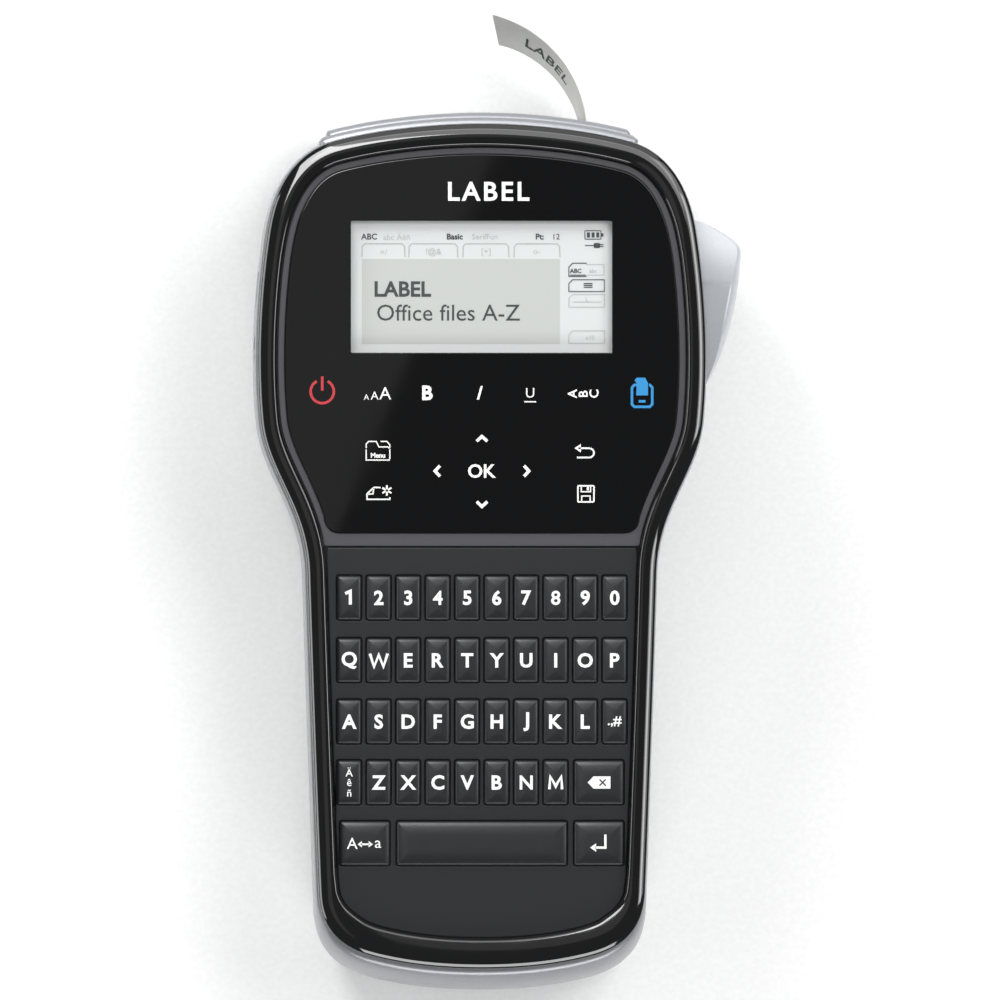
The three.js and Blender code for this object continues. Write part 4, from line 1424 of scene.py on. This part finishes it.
class BuildInside(bpy.types.Operator):
    """Circuit board, key mat, motor, rollers, gears, pivot pin and battery contacts"""

    bl_idname = "label_printer.inside"
    bl_label = "Inside"

    def execute(self, context):
        self.add_board()
        self.add_key_mat()
        self.add_platen()
        self.add_takeup()
        self.add_tape()
        self.add_motor()
        self.add_pivot()
        self.add_contacts()
        return {"FINISHED"}

    def add_board(self):
        """Circuit board with its components underneath."""
        outline = inset(front_outline(), 5.6)
        finish_piece(loft([(outline, 44.0), (outline, 45.6)]), "main_board", "board")
        parts = bmesh.new()
        for x, y, wide, long, tall in ((-12, 20, 10, 10, 1.2), (14, 24, 7, 5, 1.0),
                                       (-26, 34, 8, 4, 2.4), (22, -20, 9, 6, 1.1),
                                       (-18, -40, 6, 12, 2.6), (8, -62, 12, 5, 2.2)):
            merge(parts, block(x - wide / 2, x + wide / 2, y - long / 2, y + long / 2,
                               44.1 - tall, 44.1, 0.3))
        finish_piece(parts, "board_components", "moulded_black")

    def add_key_mat(self):
        """Silicone mat under the keypad with a dome below each key."""
        loop = cover_loop(sizes().rim_width + 1.4, 1)
        outline = around([point for point in loop if point.y < -2.5])
        mat = loft([(outline, 47.6), (outline, 48.5)])
        for key in key_nodes():
            low, high = node_box(key)
            middle = (low + high) / 2
            dome = turned(middle.x, middle.y, [(0, 48.4), (2.4, 48.4), (2.2, 48.8), (1.6, 49.0),
                                               (0, 49.0)], segments=20)
            merge(mat, dome)
        finish_piece(mat, "key_mat", "mat")

    def add_platen(self):
        """Platen roller with its shaft and gear."""
        x, y = 20.6, 71.0
        rubber = turned(x, y, [(1.2, 7.2), (3.8, 7.2), (4.0, 7.4), (4.0, 21.2), (3.8, 21.4),
                               (1.2, 21.4), (1.2, 7.2)], segments=64)
        finish_piece(rubber, "platen_rubber", "rubber", body="platen_roller",
                     replaces=["platen_roller"])
        profile = [(0, 6.6), (1.1, 6.6), (1.2, 6.8), (1.2, 29.6), (1.1, 29.8), (0, 29.8)]
        shaft = turned(x, y, profile, segments=32)
        finish_piece(shaft, "platen_shaft", "steel", body="platen_roller")
        finish_piece(gear(x, y, 28, 7.0, 26.8, 29.6, 1.2), "platen_gear", "acetal",
                     body="platen_roller")

    def add_takeup(self):
        """Wound ribbon, its core, spindle and gear."""
        x, y = 8.0, 45.0
        roll = turned(x, y, [(3.2, 6.9), (7.3, 6.9), (7.5, 7.1), (7.5, 21.3), (7.3, 21.5),
                             (3.2, 21.5), (3.2, 6.9)], segments=64)
        finish_piece(roll, "ribbon_roll", "ribbon", body="takeup_spool",
                     replaces=["takeup_spool"])
        core = turned(x, y, [(2.6, 6.8), (3.2, 6.8), (3.2, 26.8), (2.6, 26.8), (2.6, 6.8)], 32)
        finish_piece(core, "ribbon_core", "acetal", body="takeup_spool")
        spindle = bmesh.new()
        for turn in range(3):
            fin = block(-2.55, 2.55, -0.45, 0.45, 8.0, 27.0)
            merge(spindle, fin, placed(x, y, turn=60 * turn))
        finish_piece(spindle, "drive_spindle", "moulded_black", body="takeup_spool")
        finish_piece(gear(x, y, 32, 8.0, 26.8, 29.6, 1.5), "takeup_gear", "acetal",
                     body="takeup_spool")

    def add_tape(self):
        """Wound label tape on its hub."""
        x, y = -22.5, 51.0
        roll = turned(x, y, [(7.0, 7.2), (18.0, 7.2), (18.0, 21.2), (7.0, 21.2), (7.0, 7.2)], 96)
        finish_piece(roll, "tape_roll", "wound_tape", body="tape_spool",
                     replaces=["tape_spool"])
        hub = turned(x, y, [(3.5, 6.8), (7.0, 6.8), (7.0, 21.6), (3.5, 21.6), (3.5, 6.8)], 48)
        finish_piece(hub, "tape_hub", "acetal", body="tape_spool")

    def add_motor(self):
        """Drive motor and the cover over the gears."""
        profile = [(0, 31.6), (7.2, 31.6), (7.5, 31.9), (7.5, 42.6), (7.0, 43.1), (0, 43.1)]
        finish_piece(turned(14.3, 58.0, profile, segments=64), "drive_motor", "steel")
        spine = Vector((8.0, 45.0)), Vector((20.6, 71.0))
        along = (spine[1] - spine[0]).normalized()
        turn = math.degrees(math.atan2(along.y, along.x))
        capsule = arc(*spine[0], 9.6, turn + 90, turn + 270, 16)
        capsule += arc(*spine[1], 9.6, turn - 90, turn + 90, 16)
        cover = loft([(capsule, 26.05), (capsule, 31.2), (inset(capsule, 0.5), 31.6)])
        hollow = loft([(inset(capsule, 1.2), 25), (inset(capsule, 1.2), 30.4)])
        finish_piece(cut(cover, hollow), "gearbox_cover", "moulded_black")

    def add_pivot(self):
        """Pivot pin and return spring of the cutter lever."""
        pin = turned(*BUTTON_PIVOT, [(0, 9.4), (1.1, 9.4), (1.2, 9.6), (1.2, 36.2), (1.1, 36.4),
                                     (0, 36.4)], segments=32)
        finish_piece(pin, "cutter_pivot_pin", "steel")
        coil = [Vector((BUTTON_PIVOT[0] + 1.9 * math.cos(a), BUTTON_PIVOT[1] + 1.9 * math.sin(a),
                        9.9 + 0.55 * a / math.tau)) for a in
                (math.tau * step / 20 for step in range(61))]
        finish_piece(wire(coil, 0.22), "cutter_return_spring", "steel")

    def add_contacts(self):
        """Three spring contacts of the battery."""
        for index, x in enumerate((-18, 0, 18)):
            leaf = block(x - 2, x + 2, -30.0, -29.75, 5, 17, 0.1)
            merge(leaf, block(x - 1.4, x + 1.4, -30.6, -29.8, 9.5, 12.5, 0.3))
            finish_piece(leaf, f"battery_contact_{index + 1}", "brass")


def wire(points, radius, sides=10):
    """A round wire along points, closed at both ends."""
    bm = bmesh.new()
    ring = None
    for index, point in enumerate(points):
        before, after = points[max(0, index - 1)], points[min(len(points) - 1, index + 1)]
        along = (after - before).normalized()
        across = along.cross(Vector((0, 0, 1))).normalized()
        up = across.cross(along)
        place = [point + radius * (across * math.cos(a) + up * math.sin(a))
                 for a in (math.tau * side / sides for side in range(sides))]
        if ring is None:
            ring = [bm.verts.new(p) for p in place]
            for side, vert in enumerate(ring):
                bm.edges.new((ring[side - 1], vert))
            bmesh.ops.contextual_create(bm, geom=loop_edges(bm, ring))
        else:
            ring = raise_ring(bm, ring, [p.to_2d() for p in place], 0)
            for vert, p in zip(ring, place):
                vert.co = p
    bmesh.ops.contextual_create(bm, geom=loop_edges(bm, ring))
    bmesh.ops.recalc_face_normals(bm, faces=bm.faces)
    return bm


class FinishPackedParts(bpy.types.Operator):
    """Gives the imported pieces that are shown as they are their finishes"""

    bl_idname = "label_printer.packed_parts"
    bl_label = "Packed parts"

    finishes = {"battery_pack": "battery", "cassette_bay": "moulded_black",
                "tape_cassette": "cassette", "print_head": "steel", "cutter_blade": "steel",
                "battery_cover": "silver"}

    def execute(self, context):
        for node, finish in self.finishes.items():
            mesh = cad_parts[node].data
            mesh.materials.clear()
            mesh.materials.append(finish_of(finish))
        return {"FINISHED"}


# ---- Stage -------------------------------------------------------------------------------------


class BuildStage(bpy.types.Operator):
    """Floor, soft studio lights and the camera above the face"""

    bl_idname = "label_printer.stage"
    bl_label = "Stage"

    def execute(self, context):
        scene = context.scene
        scene.view_settings.view_transform = "Standard"
        self.add_floor(scene)
        self.add_world(scene)
        self.add_lights(scene)
        self.add_camera(scene)
        return {"FINISHED"}

    def add_floor(self, scene):
        """A large sheet of paper just below the feet."""
        bm = bmesh.new()
        bmesh.ops.create_grid(bm, x_segments=2, y_segments=2, size=3.0)
        bmesh.ops.translate(bm, verts=bm.verts, vec=(0, 0, -0.0002))
        mesh = bpy.data.meshes.new("floor")
        bm.to_mesh(mesh)
        bm.free()
        # Matt seamless paper: almost white, without a gloss of its own.
        paper, shader = new_material("Seamless paper, white", "f7f7f6", 0.9)
        fibres = add_grain(paper, shader, 1.2, 0.02)
        vary(paper, shader, "Base Color", fibres, linear("f5f5f4"), linear("f9f9f8"))
        mesh.materials.append(paper)
        floor = bpy.data.objects.new("floor", mesh)
        scene.collection.objects.link(floor)

    def add_world(self, scene):
        """A weak, even surround."""
        world = bpy.data.worlds.new("studio")
        world.use_nodes = True
        background = world.node_tree.nodes["Background"]
        background.inputs["Color"].default_value = linear("f2f4f7")
        background.inputs["Strength"].default_value = 0.2
        scene.world = world

    def add_lights(self, scene):
        """Softboxes, reflection cards and the panel above."""
        for name, place, width, height, radiance, reflected in (
            ("top_softbox", (0.3, 1.8, 0.9), 2.2, 1.3, 1.3, True),
            ("right_softbox", (1.7, 0.2, 1.3), 1.2, 0.45, 6, True),
            ("left_softbox", (-1.7, 0.0, 0.55), 1.6, 0.45, 5, True),
            ("front_softbox", (0.2, -1.8, 0.9), 1.8, 0.6, 7.5, True),
            ("high_softbox", (1.1, 0.9, 2.2), 1.0, 1.0, 7, False),
            ("corner_softbox", (-0.85, 1.45, 0.95), 0.6, 0.9, 12, False),
        ):
            light = self.add_light(scene, name, place, self.aim(place), width, height, radiance)
            light.visible_glossy = reflected
        # Cards that only show as reflections: they draw the soft highlights along the glossy rim.
        for name, place, width, height, radiance in (
            ("corner_card", (-0.58, 0.96, 1.42), 0.75, 1.3, 12),
            ("right_card", (1.35, 0.5, 1.1), 1.7, 0.9, 2.6),
            ("upper_card", (0.3, 0.95, 1.4), 1.9, 0.95, 3.0),
        ):
            light = self.add_light(scene, name, place, self.aim(place), width, height, radiance)
            light.visible_diffuse = False
        # A dim panel straight above; the lens mirrors its edge as a slanting line.
        edge = Vector((0.3825, 0.924, 0))
        side = Vector((-0.924, 0.3825, 0))
        place = Vector((0.0062, 0.0705, 1.5536)) + side * 0.3
        aim = Matrix.Rotation(edge.to_2d().angle_signed(Vector((0, 1))), 3, "Z").to_quaternion()
        self.add_light(scene, "overhead_panel", place, aim, 0.6, 1.2, 0.32)

    def aim(self, place):
        """The turn that points a light at the origin."""
        return (-Vector(place)).to_track_quat("-Z", "Y")

    def add_light(self, scene, name, place, aim, width, height, radiance):
        """An area light with a given radiance, whatever its size."""
        lamp = bpy.data.lights.new(name, "AREA")
        lamp.shape, lamp.size, lamp.size_y = "RECTANGLE", width, height
        lamp.energy = radiance * math.pi * width * height
        light = bpy.data.objects.new(name, lamp)
        light.location = place
        light.rotation_euler = aim.to_euler()
        light.visible_camera = False
        scene.collection.objects.link(light)
        return light

    def add_camera(self, scene):
        """A long lens almost straight above the face."""
        distance, picture = 6.0, 0.2366  # metres; the picture is as wide as the object plane
        centre = Vector((0.00426, 0.01194, 0.054))
        aside = Vector((-0.018, -0.008, 1)).normalized()
        camera = bpy.data.objects.new("camera", bpy.data.cameras.new("camera"))
        camera.data.lens = camera.data.sensor_width * distance / picture
        camera.data.clip_end = 20
        camera.location = centre + aside * distance
        across = Vector((0, 1, 0)).cross(aside).normalized()
        axes = Matrix((across, aside.cross(across), aside)).transposed()
        camera.rotation_euler = axes.to_euler()
        scene.collection.objects.link(camera)
        scene.camera = camera


# ---- Add-on ------------------------------------------------------------------------------------

OPERATORS = (
    BuildFrontCover, BuildRearCasing, BuildCutterButton, BuildHeadPanel, BuildLens,
    BuildKeypadPlate, BuildKeys, BuildDisplay, BuildIcons, BuildLabel, BuildBack, BuildSockets,
    BuildInside, FinishPackedParts, BuildStage,
)


class LabelPrinterPanel(bpy.types.Panel):
    """Lists the pieces of the printer"""

    bl_idname = "VIEW3D_PT_label_printer"
    bl_label = "Label printer"
    bl_space_type = "VIEW_3D"
    bl_region_type = "UI"
    bl_category = "Label printer"

    def draw(self, context):
        for group in (context.scene.label_printer_sizes, context.scene.label_printer_colours):
            box = self.layout.box()
            for key in group.__annotations__:
                box.prop(group, key)
        for operator in OPERATORS:
            self.layout.operator(operator.bl_idname)


CLASSES = (LabelPrinterSizes, LabelPrinterColours, *OPERATORS, LabelPrinterPanel)


def register():
    for cls in CLASSES:
        bpy.utils.register_class(cls)
    bpy.types.Scene.label_printer_sizes = PointerProperty(type=LabelPrinterSizes)
    bpy.types.Scene.label_printer_colours = PointerProperty(type=LabelPrinterColours)


def unregister():
    del bpy.types.Scene.label_printer_colours
    del bpy.types.Scene.label_printer_sizes
    for cls in reversed(CLASSES):
        bpy.utils.unregister_class(cls)


def main():
    register()
    for operator in OPERATORS:
        group, name = operator.bl_idname.split(".")
        getattr(getattr(bpy.ops, group), name)()


if __name__ == "__main__":
    main()
